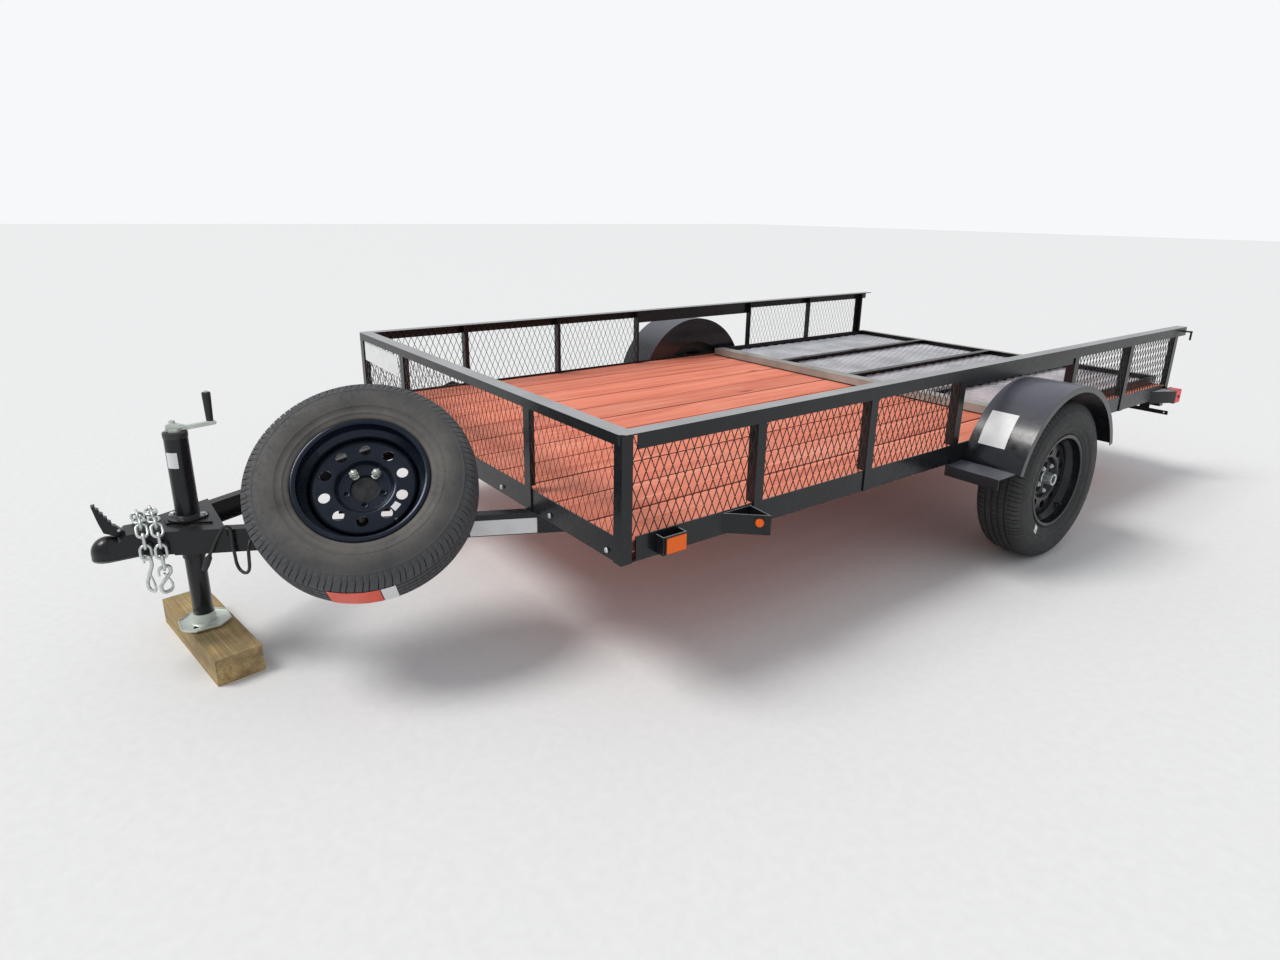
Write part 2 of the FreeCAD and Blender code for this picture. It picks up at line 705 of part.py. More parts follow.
def coupler_form(inset):
    # The outside of the pressing, or with the sheet as inset the hollow in it, which is open below.
    radius = COUPLER_DOME_RADIUS - inset
    low = COUPLER_BOTTOM - 2 * inset
    top = COUPLER_TOP - inset
    half = COUPLER_HALF_WIDTH - inset
    rear = COUPLER_REAR_Y + inset
    saddle_y, saddle_z = COUPLER_SADDLE
    dome = Part.makeSphere(radius, V(0, BALL_Y, COUPLER_DOME_Z), V(0, 0, 1), 0, 90, 360)
    wall = Part.makeCylinder(radius, COUPLER_DOME_Z - low, V(0, BALL_Y, low))
    side = [(BALL_Y, low), (BALL_Y, saddle_z - 2 - inset), (BALL_Y + saddle_y, saddle_z - inset),
            (BALL_Y + COUPLER_SHOULDER, top), (rear, top), (rear, COUPLER_REAR_BOTTOM - 20 * inset),
            (COUPLER_TURN_Y, low)]
    flare_y = TONGUE_APEX_Y + (COUPLER_HALF_WIDTH - COUPLER_SHEET) / math.tan(math.radians(TONGUE_HALF_DEG))
    plan = [(radius, BALL_Y), (half, flare_y - 20), (half, flare_y), (coupler_half(rear) - inset, rear)]
    plan += [(-x, y) for x, y in reversed(plan)]
    reach = coupler_half(rear)
    body = along_x(side, -reach, reach).common(along_z(plan, COUPLER_REAR_BOTTOM - 200, top + 1))
    return dome.fuse([wall, body])


def coupler():
    # A pressed sheet, open below: domed nose over the ball's cup, and sides that flare over the tongue.
    shell = coupler_form(0).cut(coupler_form(COUPLER_SHEET))
    socket = BALL_RADIUS + SOCKET_GAP
    cup = Part.makeCylinder(socket + SOCKET_WALL, COUPLER_DOME_RADIUS * 2, V(0, BALL_Y, SOCKET_BOTTOM))
    cup = cup.common(coupler_form(0))
    ball = Part.makeSphere(socket, V(0, BALL_Y, BALL_Z))
    throat = Part.makeCylinder(socket, BALL_Z - COUPLER_BOTTOM, V(0, BALL_Y, COUPLER_BOTTOM))
    return fused([shell, cup]).cut(ball).cut(throat).cut(jack_passage())


def coupler_latch():
    # The locking lever, leaning forward over the nose, with a row of teeth down its rear edge.
    y = BALL_Y
    saddle_y, saddle_z = COUPLER_SADDLE
    slope = (COUPLER_TOP - saddle_z) / (COUPLER_SHOULDER - saddle_y)
    foot = [(y + reach, saddle_z + (reach - saddle_y) * slope) for reach in (48, 30)]
    front = [(y + 11, 457), (y - 5, 466), (y - 15, 505), (y - 24, 554)]
    top = V(y - 13, 556, 0)
    run = V(y + 28, 482, 0) - top
    inward = V(run.y, -run.x, 0).normalize() * LATCH_TOOTH
    rear = []
    for i in range(LATCH_TEETH):
        rear += [top + run * (i / LATCH_TEETH), top + run * ((i + 0.5) / LATCH_TEETH) + inward]
    rear.append(top + run)
    outline = foot + front + [(p.x, p.y) for p in rear] + [(y + 43, 464)]
    return along_x(outline, -LATCH_WIDTH / 2, LATCH_WIDTH / 2)


def jack_tube():
    # Outer tube with its flange and three bolts on the plate.
    tube = Part.makeCylinder(JACK_TUBE_RADIUS, JACK_TUBE_TOP - JACK_TUBE_BOTTOM, V(0, JACK_Y, JACK_TUBE_BOTTOM))
    bore_top = JACK_TUBE_TOP - 12
    bore = Part.makeCylinder(JACK_LEG_RADIUS + JACK_RUN_GAP, bore_top - JACK_TUBE_BOTTOM + 1,
                             V(0, JACK_Y, JACK_TUBE_BOTTOM - 1))
    z = COUPLER_TOP + JACK_PLATE_THICK
    flange = Part.makeCylinder(JACK_FLANGE_RADIUS, 6, V(0, JACK_Y, z))
    bolts = []
    for degrees in JACK_BOLT_DEG:
        a = math.radians(degrees)
        at = V(JACK_BOLT_RING * math.cos(a), JACK_Y + JACK_BOLT_RING * math.sin(a), z + 5)
        bolts.append(hexagon(9, 9, at))
    return fused([tube, flange] + bolts).cut(bore)


def jack_crank():
    # Zinc plated arm: its boss on the tube's top, a cranked bar, and the pin that carries the grip.
    z = JACK_TUBE_TOP
    boss = Part.makeCylinder(20, 12, V(0, JACK_Y, z))
    y = JACK_Y
    side = [(y - 26, z + 4), (y - 22, z + 24), (y - 6, z + 30), (y + 8, z + 26), (y + 34, z + 15),
            (y + CRANK_REACH - 6, z + 20), (y + CRANK_REACH, z + 14), (y + CRANK_REACH - 4, z + 8), (y + 36, z + 3),
            (y + 20, z + 4)]
    return fused([boss, along_x(side, -8, 8)])


def jack_grip():
    # The grip stands on the arm's end.
    at = V(0, JACK_Y + CRANK_REACH - 18, JACK_TUBE_TOP + 20.5)
    return Part.makeCone(10, 13, 92, at)


def foot_plan(inset):
    half = FOOT_SIZE / 2 - inset
    near = half - FOOT_CORNER + inset * (math.sqrt(2) - 1) + inset
    points = [(near, half), (-near, half), (-half, near), (-half, -near), (-near, -half), (near, -half),
              (half, -near), (half, near)]
    return [(x, JACK_Y + y) for x, y in points]


def jack_leg():
    # Inner tube with a zinc collar and a dished foot, standing on the timber.
    z = BLOCK_HEIGHT
    start = z + FOOT_COLLAR
    tube = Part.makeCylinder(JACK_LEG_RADIUS, JACK_TUBE_BOTTOM + JACK_OVERLAP - start, V(0, JACK_Y, start))
    collar = Part.makeCylinder(JACK_LEG_RADIUS + 3, FOOT_COLLAR, V(0, JACK_Y, z))
    dish = along_z(foot_plan(0), z, z + FOOT_LIP)
    dish = dish.cut(along_z(foot_plan(FOOT_THICK), z + FOOT_THICK, z + FOOT_LIP + 1))
    return fused([tube, collar, dish])


def wood_block():
    shape = block(-BLOCK_LENGTH / 2, -BLOCK_WIDTH / 2, 0, BLOCK_LENGTH / 2, BLOCK_WIDTH / 2, BLOCK_HEIGHT)
    shape.rotate(V(0, 0, 0), V(0, 0, 1), BLOCK_TURN_DEG)
    shape.translate(V(0, JACK_Y + 12, 0))
    return shape


# Spare wheel

def spare_axis():
    az = math.radians(SPARE_AZIMUTH_DEG)
    el = math.radians(SPARE_TILT_DEG)
    return V(math.cos(el) * math.sin(az), -math.cos(el) * math.cos(az), math.sin(el))


def spare_centre():
    return V(*SPARE_CENTRE) - spare_axis() * (TYRE_WIDTH / 2 - 12)


def spare_bracket():
    # A post on the tongue member with a tilted plate behind the spare's disc, and two studs with nuts.
    axis = spare_axis()
    c = spare_centre() + axis * (DISC_OFFSET - DISC_SHEET - RIM_SEAT_GAP)
    half = SPARE_PLATE / 2
    face = [Part.makeBox(SPARE_PLATE, SPARE_PLATE, SPARE_PLATE_THICK, V(-half, -half, -SPARE_PLATE_THICK))]
    nut_z = DISC_SHEET + 2 * RIM_SEAT_GAP
    for i in SPARE_NUTS:
        at = V(DISC_BOLT_RADIUS * math.cos(lug_angle(i)), DISC_BOLT_RADIUS * math.sin(lug_angle(i)), -1)
        face.append(Part.makeCylinder(LUG_RADIUS - RIM_SEAT_GAP, nut_z + SPARE_NUT_HEIGHT + 9, at))
        face.append(hexagon(SPARE_NUT_RADIUS, SPARE_NUT_HEIGHT, at + V(0, 0, 1 + nut_z)))
    plate = fused(face)
    plate.Placement = facing(c, axis)
    root = V(tongue_edge_x(c.y) - 19, c.y, RAIL_BOTTOM)
    base = block(root.x - 19, root.y - 30, RAIL_BOTTOM, root.x + 19, root.y + 30, RAIL_BOTTOM + 5)
    top = c - axis * 4
    arm = top - root
    leg = Part.makeCylinder(19, arm.Length, root, arm)
    floor = block(root.x - 300, root.y - 300, RAIL_BOTTOM - 300, root.x + 300, root.y + 300, RAIL_BOTTOM)
    wheel_side = Part.makeBox(300, 300, 100, V(-150, -150, -3))
    wheel_side.Placement = plate.Placement
    return fused([plate, leg.cut(floor).cut(wheel_side), base])


# Lamps

def reflector_bracket():
    # A strip bent to a U on the rail, open above, with its outer face for the reflector.
    t = REFLECTOR_SHEET
    y0, y1 = REFLECTOR_Y
    x0 = RAIL_X
    x1 = x0 + REFLECTOR_REACH
    plan = [(x0, y0), (x1, y0), (x1, y1), (x0, y1), (x0, y1 - t), (x1 - t, y1 - t), (x1 - t, y0 + t), (x0, y0 + t)]
    return along_z(plan, *REFLECTOR_Z)


def front_reflector():
    x = RAIL_X + REFLECTOR_REACH
    return block(x, REFLECTOR_Y[0] + 10, REFLECTOR_Z[0] + 5, x + REFLECTOR_THICK, REFLECTOR_Y[1] - 7, REFLECTOR_Z[1] - 3)


def marker_bracket():
    # A three cornered tube of sheet at the foot of the first post, which turns the lamp forward and outward.
    corners = [V(RAIL_X, MARKER_Y[0], MARKER_Z[0]), V(*MARKER_TIP, MARKER_Z[0]), V(RAIL_X, MARKER_Y[1], MARKER_Z[0])]
    outer = Part.Face(Part.makePolygon(corners + corners[:1]))
    inner = outer.makeOffset2D(-MESH_THICK)
    return outer.cut(inner).extrude(V(0, 0, MARKER_Z[1] - MARKER_Z[0]))


def marker_lamp():
    # A small round lamp near the tip of its bracket.
    start = V(RAIL_X, MARKER_Y[0], MARKER_LAMP_Z)
    run = V(*MARKER_TIP, MARKER_LAMP_Z) - start
    outward = V(run.y, -run.x, 0).normalize()
    return Part.makeCylinder(MARKER_RADIUS, 14, start + run * MARKER_ALONG, outward)


def tail_bracket():
    return block(HALF_WIDTH, TAIL_Y[0] - 8, TAIL_Z[0] + 8, TAIL_X[0], TAIL_Y[1] - 8, TAIL_Z[1] - 6)


def tail_lamp():
    # The red lens wraps the whole lamp, so it shows from the front as well.
    return block(TAIL_X[0], TAIL_Y[0], TAIL_Z[0], TAIL_X[1], TAIL_Y[1], TAIL_Z[1])


def lamp_brackets():
    return [reflector_bracket(), marker_bracket(), tail_bracket()]


def licence_bracket():
    # A stem on the rear rail with a bar for the plate's two screws, and the small lamp above the bar.
    y = FRAME_LENGTH - POST_THICK
    wide, tall = LICENCE_BAR
    stem = block(LICENCE_STEM[0], y, LICENCE_Z, LICENCE_STEM[1], y + LICENCE_SHEET, RAIL_BOTTOM + 26)
    bar = block(LICENCE_X - wide / 2, y, LICENCE_Z - tall / 2, LICENCE_X + wide / 2, y + LICENCE_SHEET,
                LICENCE_Z + tall / 2)
    lamp_x, lamp_y, lamp_z = LICENCE_LAMP
    lamp = block(RAIL_X - lamp_x, y - lamp_y, RAIL_BOTTOM - lamp_z, RAIL_X, y, RAIL_BOTTOM)
    tab = block(LICENCE_STEM[0], y - LICENCE_SHEET, RAIL_BOTTOM - lamp_z, RAIL_X, y + LICENCE_SHEET, RAIL_BOTTOM - 30)
    holes = []
    for side in (-1, 1):
        at = V(LICENCE_X + side * LICENCE_HOLES / 2, y - 8, LICENCE_Z)
        holes.append(Part.makeCylinder(LICENCE_HOLE_RADIUS, 20, at, V(0, 1, 0)))
    return fused([stem, bar, lamp, tab]).cut(Part.makeCompound(holes))


# Wiring lead

def lead_frame():
    # Outward and forward along the left member's web, and the gland's place on it.
    a = math.radians(TONGUE_HALF_DEG)
    out = V(math.cos(a), -math.sin(a), 0)
    forward = V(-math.sin(a), -math.cos(a), 0)
    return V(tongue_edge_x(LEAD_GLAND_Y), LEAD_GLAND_Y, 0), out, forward


def lead_points():
    origin, out, forward = lead_frame()
    return [origin + out * a + forward * b + V(0, 0, z) for a, b, z in LEAD_ROUTE]


def lead_path(points):
    # Straight runs joined by tangent arcs.
    edges = []
    start = points[0]
    radii = []
    for before, here, after in zip(points, points[1:], points[2:]):
        back = before - here
        on = after - here
        half_turn = (math.pi - back.getAngle(on)) / 2
        reach = 0.45 * min(back.Length, on.Length)
        radius = reach / math.tan(half_turn)
        radii.append(round(radius, 1))
        back.normalize()
        on.normalize()
        inward = (back + on).normalize()
        middle = here + inward * (radius / math.cos(half_turn) - radius)
        edges.append(Part.makeLine(start, here + back * reach))
        edges.append(Part.Arc(here + back * reach, middle, here + on * reach).toShape())
        start = here + on * reach
    edges.append(Part.makeLine(start, points[-1]))
    print("lead radii", radii, "diameter", 2 * LEAD_RADIUS)
    return Part.Wire(edges)


def harness_lead():
    points = lead_points()
    path = lead_path(points)
    ring = Part.Wire(Part.makeCircle(LEAD_RADIUS, points[0], points[1] - points[0]))
    tube = path.makePipeShell([ring], True, False)
    print("lead volume", round(tube.Volume), "section by length", round(math.pi * LEAD_RADIUS ** 2 * path.Length))
    return tube


def harness_gland():
    origin, out, forward = lead_frame()
    return Part.makeCylinder(LEAD_GLAND_RADIUS, LEAD_ROUTE[0][0], origin + V(0, 0, LEAD_ROUTE[0][2]), out)


def harness_plug():
    points = lead_points()
    return Part.makeCylinder(PLUG_RADIUS, PLUG_LENGTH, points[-1], points[-1] - points[-2])


def gate_pin():
    # Bent pin through the rear end of the top rail.
    y = REAR_END - 30
    z = FENCE_TOP - 22
    rod = Part.makeCylinder(5, 40, V(TOP_X, y, z), V(1, 0, 0))
    tail = Part.makeCylinder(5, 50, V(TOP_X + 35, y, z + 5), V(0, 0, -1))
    return fused([rod, tail])


# Ramp gate

def gate_bottom():
    return DECK_TOP + GATE_CLEAR


def hinge_z():
    return gate_bottom() + GATE_BAR / 2


def hinge_y():
    return FRAME_LENGTH + HINGE_BEHIND


def gate_frame():
    z0 = gate_bottom()
    z1 = z0 + GATE_BAR
    y1 = hinge_y() - GATE_HINGE_GAP
    y0 = hinge_y() - GATE_LENGTH
    half = GATE_HALF_WIDTH
    t = GATE_BAR_THICK
    bars = []
    for side in (-1, 1):
        x = side * half
        outline = [(x, z0), (x, z1), (x - side * t, z1), (x - side * t, z0 + t), (x - side * GATE_BAR, z0 + t),
                   (x - side * GATE_BAR, z0)]
        bars.append(along_y(outline, y0, y1))
    for i in range(GATE_INNER_BARS):
        x = -half + 2 * half * (i + 1) / (GATE_INNER_BARS + 1)
        outline = [(x - t / 2, z0), (x + t / 2, z0), (x + t / 2, z1 - t), (x + GATE_BAR - t / 2, z1 - t),
                   (x + GATE_BAR - t / 2, z1), (x - t / 2, z1)]
        bars.append(along_y(outline, y0 + 2, y1 - 2))
    front = [(y0, z0), (y0, z1), (y0 + GATE_FRONT_BAR, z1), (y0 + GATE_FRONT_BAR, z1 - t), (y0 + t, z1 - t), (y0 + t, z0)]
    rear = [(y1, z0), (y1, z1), (y1 - GATE_BAR, z1), (y1 - GATE_BAR, z1 - t), (y1 - t, z1 - t), (y1 - t, z0)]
    bars.append(along_x(front, -half, half))
    bars.append(along_x(rear, -half, half))
    for x in hinge_places():
        bars.append(block(x - HINGE_LENGTH / 2, y1 - 2, hinge_z() - 4, x + HINGE_LENGTH / 2, hinge_y(), hinge_z() + 4))
        bars.append(Part.makeCylinder(HINGE_TUBE_RADIUS, HINGE_LENGTH, V(x - HINGE_LENGTH / 2, hinge_y(), hinge_z()),
                                      V(1, 0, 0)))
    frame = fused(bars)
    bore = [Part.makeCylinder(HINGE_PIN_RADIUS + HINGE_RUN_GAP, HINGE_LENGTH + 2,
                              V(x - HINGE_LENGTH / 2 - 1, hinge_y(), hinge_z()), V(1, 0, 0))
            for x in hinge_places()]
    return frame.cut(Part.makeCompound(bore))


def hinge_places():
    return [-0.75 * GATE_HALF_WIDTH, 0.75 * GATE_HALF_WIDTH]


def gate_mesh():
    t = GATE_BAR_THICK
    z = gate_bottom() + t
    y0 = hinge_y() - GATE_LENGTH + t
    y1 = hinge_y() - GATE_HINGE_GAP - t
    half = GATE_HALF_WIDTH - t
    step = 2 * GATE_HALF_WIDTH / (GATE_INNER_BARS + 1)
    bays = []
    for i in range(GATE_INNER_BARS + 1):
        x0 = -GATE_HALF_WIDTH + step * i + t / 2
        x1 = x0 + step - t
        x0 = max(x0, -half)
        x1 = min(x1, half)
        bays.append(diamond_sheet(x1 - x0, y1 - y0, GATE_MESH_PITCH_ACROSS, GATE_MESH_PITCH_ALONG,
                                  lambda u, v, a=x0: V(a + u, y0 + v, z), V(0, 0, MESH_THICK)))
    return group(bays)


def hinge_lugs():
    # Two ears on the rear rail at each gate knuckle, below the folded gate, with the pin between them.
    y = hinge_y()
    z = hinge_z()
    r = HINGE_EAR_RADIUS
    face = FRAME_LENGTH - POST_THICK
    top = DECK_TOP - 2 * REAR_RAIL_DROP
    ear = [(face, top - HINGE_EAR_HEIGHT), (face, top), (y - r, top), (y - r, z), (y + r, z), (y + r * 0.9, z - r * 0.45)]
    lugs = []
    for x in hinge_places():
        gap = HINGE_LENGTH / 2 + 1
        pieces = []
        for side in (-1, 1):
            a = min(x + side * gap, x + side * (gap + HINGE_EAR_THICK))
            pieces.append(along_x(ear, a, a + HINGE_EAR_THICK))
            pieces.append(Part.makeCylinder(r, HINGE_EAR_THICK, V(a, y, z), V(1, 0, 0)))
        reach = gap + HINGE_EAR_THICK
        pieces.append(Part.makeCylinder(HINGE_PIN_RADIUS, 2 * reach, V(x - reach, y, z), V(1, 0, 0)))
        lugs.append(fused(pieces))
    return group(lugs)


# Safety chains

def octagon(length, width, corner):
    a = length / 2
    b = width / 2
    points = [(-a + corner, -b), (a - corner, -b), (a, -b + corner), (a, b - corner), (a - corner, b),
              (-a + corner, b), (-a, b - corner), (-a, -b + corner)]
    corners = [V(x, y, -LINK_BAR / 2) for x, y in points]
    return Part.makePolygon(corners + corners[:1])


def chain_link(start, end, gap, flat):
    # One link between two joints. A flat link holds the Y axis in its plane; the next one stands across it.
    hole = octagon(LINK_LENGTH - 2 * LINK_BAR, LINK_WIDTH - 2 * LINK_BAR, LINK_BAR * (math.sqrt(2) - 1))
    outline = octagon(LINK_LENGTH, LINK_WIDTH, LINK_BAR)
    link = Part.makeFace([outline, hole], "Part::FaceMakerBullseye").extrude(V(0, 0, LINK_BAR))
    along = (end - start).normalize()
    across = V(0, 1, 0) if flat else V(0, 1, 0).cross(along)
    centre = start + along * (LINK_LENGTH / 2 - LINK_BAR - gap)
    link.Placement = FreeCAD.Placement(centre, FreeCAD.Rotation(along, across, along.cross(across), "XYZ"))
    return link


def joints_along(path, lengths):
    # Joints along a bent line, each its own length from the one before.
    joints = [path[0]]
    k = 0
    for length in lengths:
        t = 2
        while t > 1:
            run = path[k + 1] - path[k]
            off = path[k] - joints[-1]
            b = off.dot(run)
            t = (-b + math.sqrt(b ** 2 - run.dot(run) * (off.dot(off) - length ** 2))) / run.dot(run)
            if t > 1:
                k += 1
        joints.append(path[k] + run * t)
    return joints


def chain_joints(down, over, hanging):
    # Joints from the hook to the bolt. Where the chain bends, square bars stand apart by their corners.
    reach = LINK_LENGTH - 2 * LINK_BAR
    gaps = [LINK_GAP / 2] * (hanging + LINKS_OVER + 2)
    for _ in range(LINK_PASSES):
        lengths = [reach - a - b for a, b in zip(gaps, gaps[1:])]
        near = joints_along(down, lengths[hanging::-1])
        joints = near[::-1] + joints_along(over, lengths[hanging + 1:])[1:]
        for i in range(1, len(joints) - 1):
            turn = (joints[i] - joints[i - 1]).getAngle(joints[i + 1] - joints[i])
            gaps[i] = LINK_GAP / 2 + LINK_BAR / 2 * math.tan(turn / 2)
    return joints, gaps


def ribbon(path, half):
    # The outline of a flat bar of that half width along a bent line.
    left = []
    right = []
    for i, here in enumerate(path):
        before = here - path[i - 1] if i else path[1] - here
        after = path[i + 1] - here if i < len(path) - 1 else before
        normal = before.normalize() + after.normalize()
        side = V(-normal.y, normal.x, 0).normalize()
        reach = half / side.dot(V(-before.y, before.x, 0))
        left.append(here + side * reach)
        right.append(here - side * reach)
    return left + right[::-1]


def safety_hook(joint, drop, turn_deg):
    # An S hook of square bar, hung in the last link of its chain.
    high = LINK_BAR / 2 + LINK_GAP / 2
    low = LINK_BAR / 2 - drop
    path = [(-17, -20), (-17, high - 7), (-11, high), (11, high), (17, high - 7), (17, -20), (-17, low + 26),
            (-17, low + 9), (-9, low), (9, low), (17, low + 9), (17, low + 24)]
    corners = ribbon([V(u, v, -LINK_BAR / 2) for u, v in path], LINK_BAR / 2)
    hook = Part.Face(Part.makePolygon([V(p.x, p.y, -LINK_BAR / 2) for p in corners + corners[:1]]))
    hook = hook.extrude(V(0, 0, LINK_BAR))
    a = math.radians(turn_deg)
    level = V(math.cos(a), math.sin(a), 0)
    up = V(0, 0, 1)
    hook.Placement = FreeCAD.Placement(joint, FreeCAD.Rotation(level, up, level.cross(up), "XYZ"))
    return hook


def chain_bolt(joint):
    # The bolt on the coupler's right side, through the chain's last link.
    z = joint.z + CHAIN_BOLT_RADIUS * math.cos(math.pi / 6) + LINK_GAP / 2

    def six(radius):
        return [(joint.y + radius * math.cos(k * math.pi / 3), z + radius * math.sin(k * math.pi / 3)) for k in range(6)]
    outer = joint.x - LINK_BAR / 2 - 3
    shank = along_x(six(CHAIN_BOLT_RADIUS), outer, -tongue_edge_x(joint.y))
    head = along_x(six(CHAIN_BOLT_HEAD), outer - 6, outer)
    return fused([shank.cut(coupler_form(0)), head])


def safety_chains():
    # Each chain comes up from its bolt, over the coupler, and hangs down on the left with a hook.
    solids = []
    z = COUPLER_TOP
    for y, hanging, drop, turn_deg in CHAINS:
        w = coupler_half(y)
        over = [(w - 6, z + 20.5), (14 - w, z + 22), (-w, z + 27), (-w - 19, z + 19), (-w - 27, z), (-w - 27, z - 200)]
        down = [over[0], (w + 23.5, z - 4), (w + 27, z - 40), (w + 27, z - 300)]
        joints, gaps = chain_joints([V(x, y, h) for x, h in down], [V(x, y, h) for x, h in over], hanging)
        for i, (start, end) in enumerate(zip(joints, joints[1:])):
            solids.append(chain_link(start, end, gaps[i], (i - hanging) % 2 == 0))
        solids.append(safety_hook(joints[0], drop, turn_deg))
        solids.append(chain_bolt(joints[-1]))
    return group(solids)


def build():
    c = wheel_centre()
    c_right = V(-c.x, c.y, c.z)
    left = V(1, 0, 0)
    right = V(-1, 0, 0)
    return {
        "side_rail_left": side_rail(), "side_rail_right": mirrored(side_rail()),
        "front_rail": front_rail(), "rear_rail": rear_rail(), "crossmembers": crossmembers(),
        "deck_boards": deck_boards(), "posts_left": posts(), "posts_right": mirrored(posts()),
        "front_posts": front_posts(), "top_rail_left": side_top_rail(),
        "top_rail_right": mirrored(side_top_rail()), "top_rail_front": front_top_rail(),
        "mesh_left": side_mesh(), "mesh_right": mirrored(side_mesh()), "mesh_front": front_mesh(),
        "fence_plates": both_sides([upper_plate()]),
        "fender_left": fender(), "fender_right": mirrored(fender()),
        "tongue_left": tongue_member(), "tongue_right": mirrored(tongue_member()),
        "tongue_plate": tongue_plate(), "coupler": coupler(), "coupler_latch": coupler_latch(),
        "safety_chains": safety_chains(), "jack_tube": jack_tube(), "jack_crank": jack_crank(),
        "jack_grip": jack_grip(), "jack_leg": jack_leg(), "wood_block": wood_block(),
        "spare_bracket": spare_bracket(), "spare_tyre": tyre_at(spare_centre(), spare_axis()),
        "spare_rim": rim_at(spare_centre(), spare_axis()),
        "axle": axle(), "leaf_springs": both_sides([leaf_spring()]),
        "spring_hangers": both_sides(spring_hangers()), "lamp_brackets": both_sides(lamp_brackets()),
        "front_reflectors": both_sides([front_reflector()]), "marker_lamps": both_sides([marker_lamp()]),
        "tail_lamps": both_sides([tail_lamp()]), "licence_bracket": licence_bracket(),
        "harness_gland": harness_gland(), "harness_lead": harness_lead(), "harness_plug": harness_plug(),
        "gate_pins": both_sides([gate_pin()]),
        "gate_frame": gate_frame(), "gate_mesh": gate_mesh(), "hinge_lugs": hinge_lugs(),
        "tyre_left": tyre_at(c, left), "tyre_right": tyre_at(c_right, right),
        "rim_left": rim_at(c, left), "rim_right": rim_at(c_right, right),
        "hub_left": hub(), "hub_right": mirrored(hub()),
    }


def main():
    os.makedirs("parts", exist_ok=True)
    for name, shape in build().items():
        placed = shape.copy()
        placed.translate(V(0, -MIDDLE_Y, 0))
        box = placed.BoundBox
        print(name, len(placed.Solids), placed.isValid(), round(placed.Volume),
              [round(v) for v in (box.XMin, box.YMin, box.ZMin, box.XMax, box.YMax, box.ZMax)])
        placed.exportStep("parts/" + name + ".step")


main()
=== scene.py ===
import bpy
import bmesh
import math
from mathutils import Matrix, Vector, noise


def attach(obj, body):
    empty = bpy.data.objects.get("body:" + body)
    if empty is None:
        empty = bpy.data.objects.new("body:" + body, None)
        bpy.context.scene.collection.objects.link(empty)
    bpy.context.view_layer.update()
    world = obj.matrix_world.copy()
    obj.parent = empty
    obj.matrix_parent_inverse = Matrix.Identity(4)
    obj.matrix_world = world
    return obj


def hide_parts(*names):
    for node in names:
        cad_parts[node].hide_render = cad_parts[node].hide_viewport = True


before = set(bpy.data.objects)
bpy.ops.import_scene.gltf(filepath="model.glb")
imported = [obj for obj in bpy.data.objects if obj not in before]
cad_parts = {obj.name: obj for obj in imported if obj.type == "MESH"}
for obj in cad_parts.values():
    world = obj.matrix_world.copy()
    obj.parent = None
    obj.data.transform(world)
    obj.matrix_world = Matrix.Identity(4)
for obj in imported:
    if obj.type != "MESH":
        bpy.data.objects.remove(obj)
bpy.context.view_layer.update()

# Places are given in millimetres with y from the front of the bed frame, as in the part's source.
MIDDLE_Y = 1326.0
HALF_WIDTH = 1067.0
RAIL_X = 1062.0
RAIL_TOP = 530.0
DECK_TOP = 520.0
FENCE_TOP = 839.0
FRAME_LENGTH = 3760.0
POST_LEG = 38.0
POST_THICK = 5.0
SIDE_POSTS = (540.0, 1100.0, 1655.0, 2600.0, 3190.0)
FRONT_POST_X = 540.0
AXLE_Y = 2127.5
WHEEL_X = 1194.0
TYRE_RADIUS = 344.0
TONGUE_APEX = -1160.0
TONGUE_TURN = math.radians(26.0)
COUPLER_TOP = 459.0
BALL_Y = -1147.0
JACK_Y = -925.0
JACK_TUBE_TOP = 745.0
BLOCK_HEIGHT = 89.0


def place(x, y, z):
    return Vector((x, y - MIDDLE_Y, z)) / 1000


def tongue_edge(y):
    return (y - TONGUE_APEX) * math.tan(TONGUE_TURN)


ACROSS = Vector((1, 0, 0))
BACK = Vector((0, 1, 0))
UP = Vector((0, 0, 1))
DECK_HALF = RAIL_X - 5
BOARDS_ACROSS = 11
BOARD_PITCH = 2 * DECK_HALF / BOARDS_ACROSS
JACK = place(0, JACK_Y, 0)
SPARE_AZIMUTH = math.radians(64.0)
SPARE_TILT = math.radians(44.0)
SPARE_AXIS = Vector((math.cos(SPARE_TILT) * math.sin(SPARE_AZIMUTH),
                     -math.cos(SPARE_TILT) * math.cos(SPARE_AZIMUTH), math.sin(SPARE_TILT)))
SPARE_FACE = place(440.0, -508.0, 641.0)
SPARE_AT = SPARE_FACE - SPARE_AXIS * 0.090


# Camera at the photograph's viewing angle

CAMERA_AT = (2680.7, -1179.2, 1421.0)
CAMERA_YAW = 0.9267
CAMERA_PITCH = -0.293
CAMERA_ROLL = 0.0142
FOCAL_PIXELS = 778.36
PRINCIPAL = (631.84, 443.4)
PHOTO = (1280, 960)


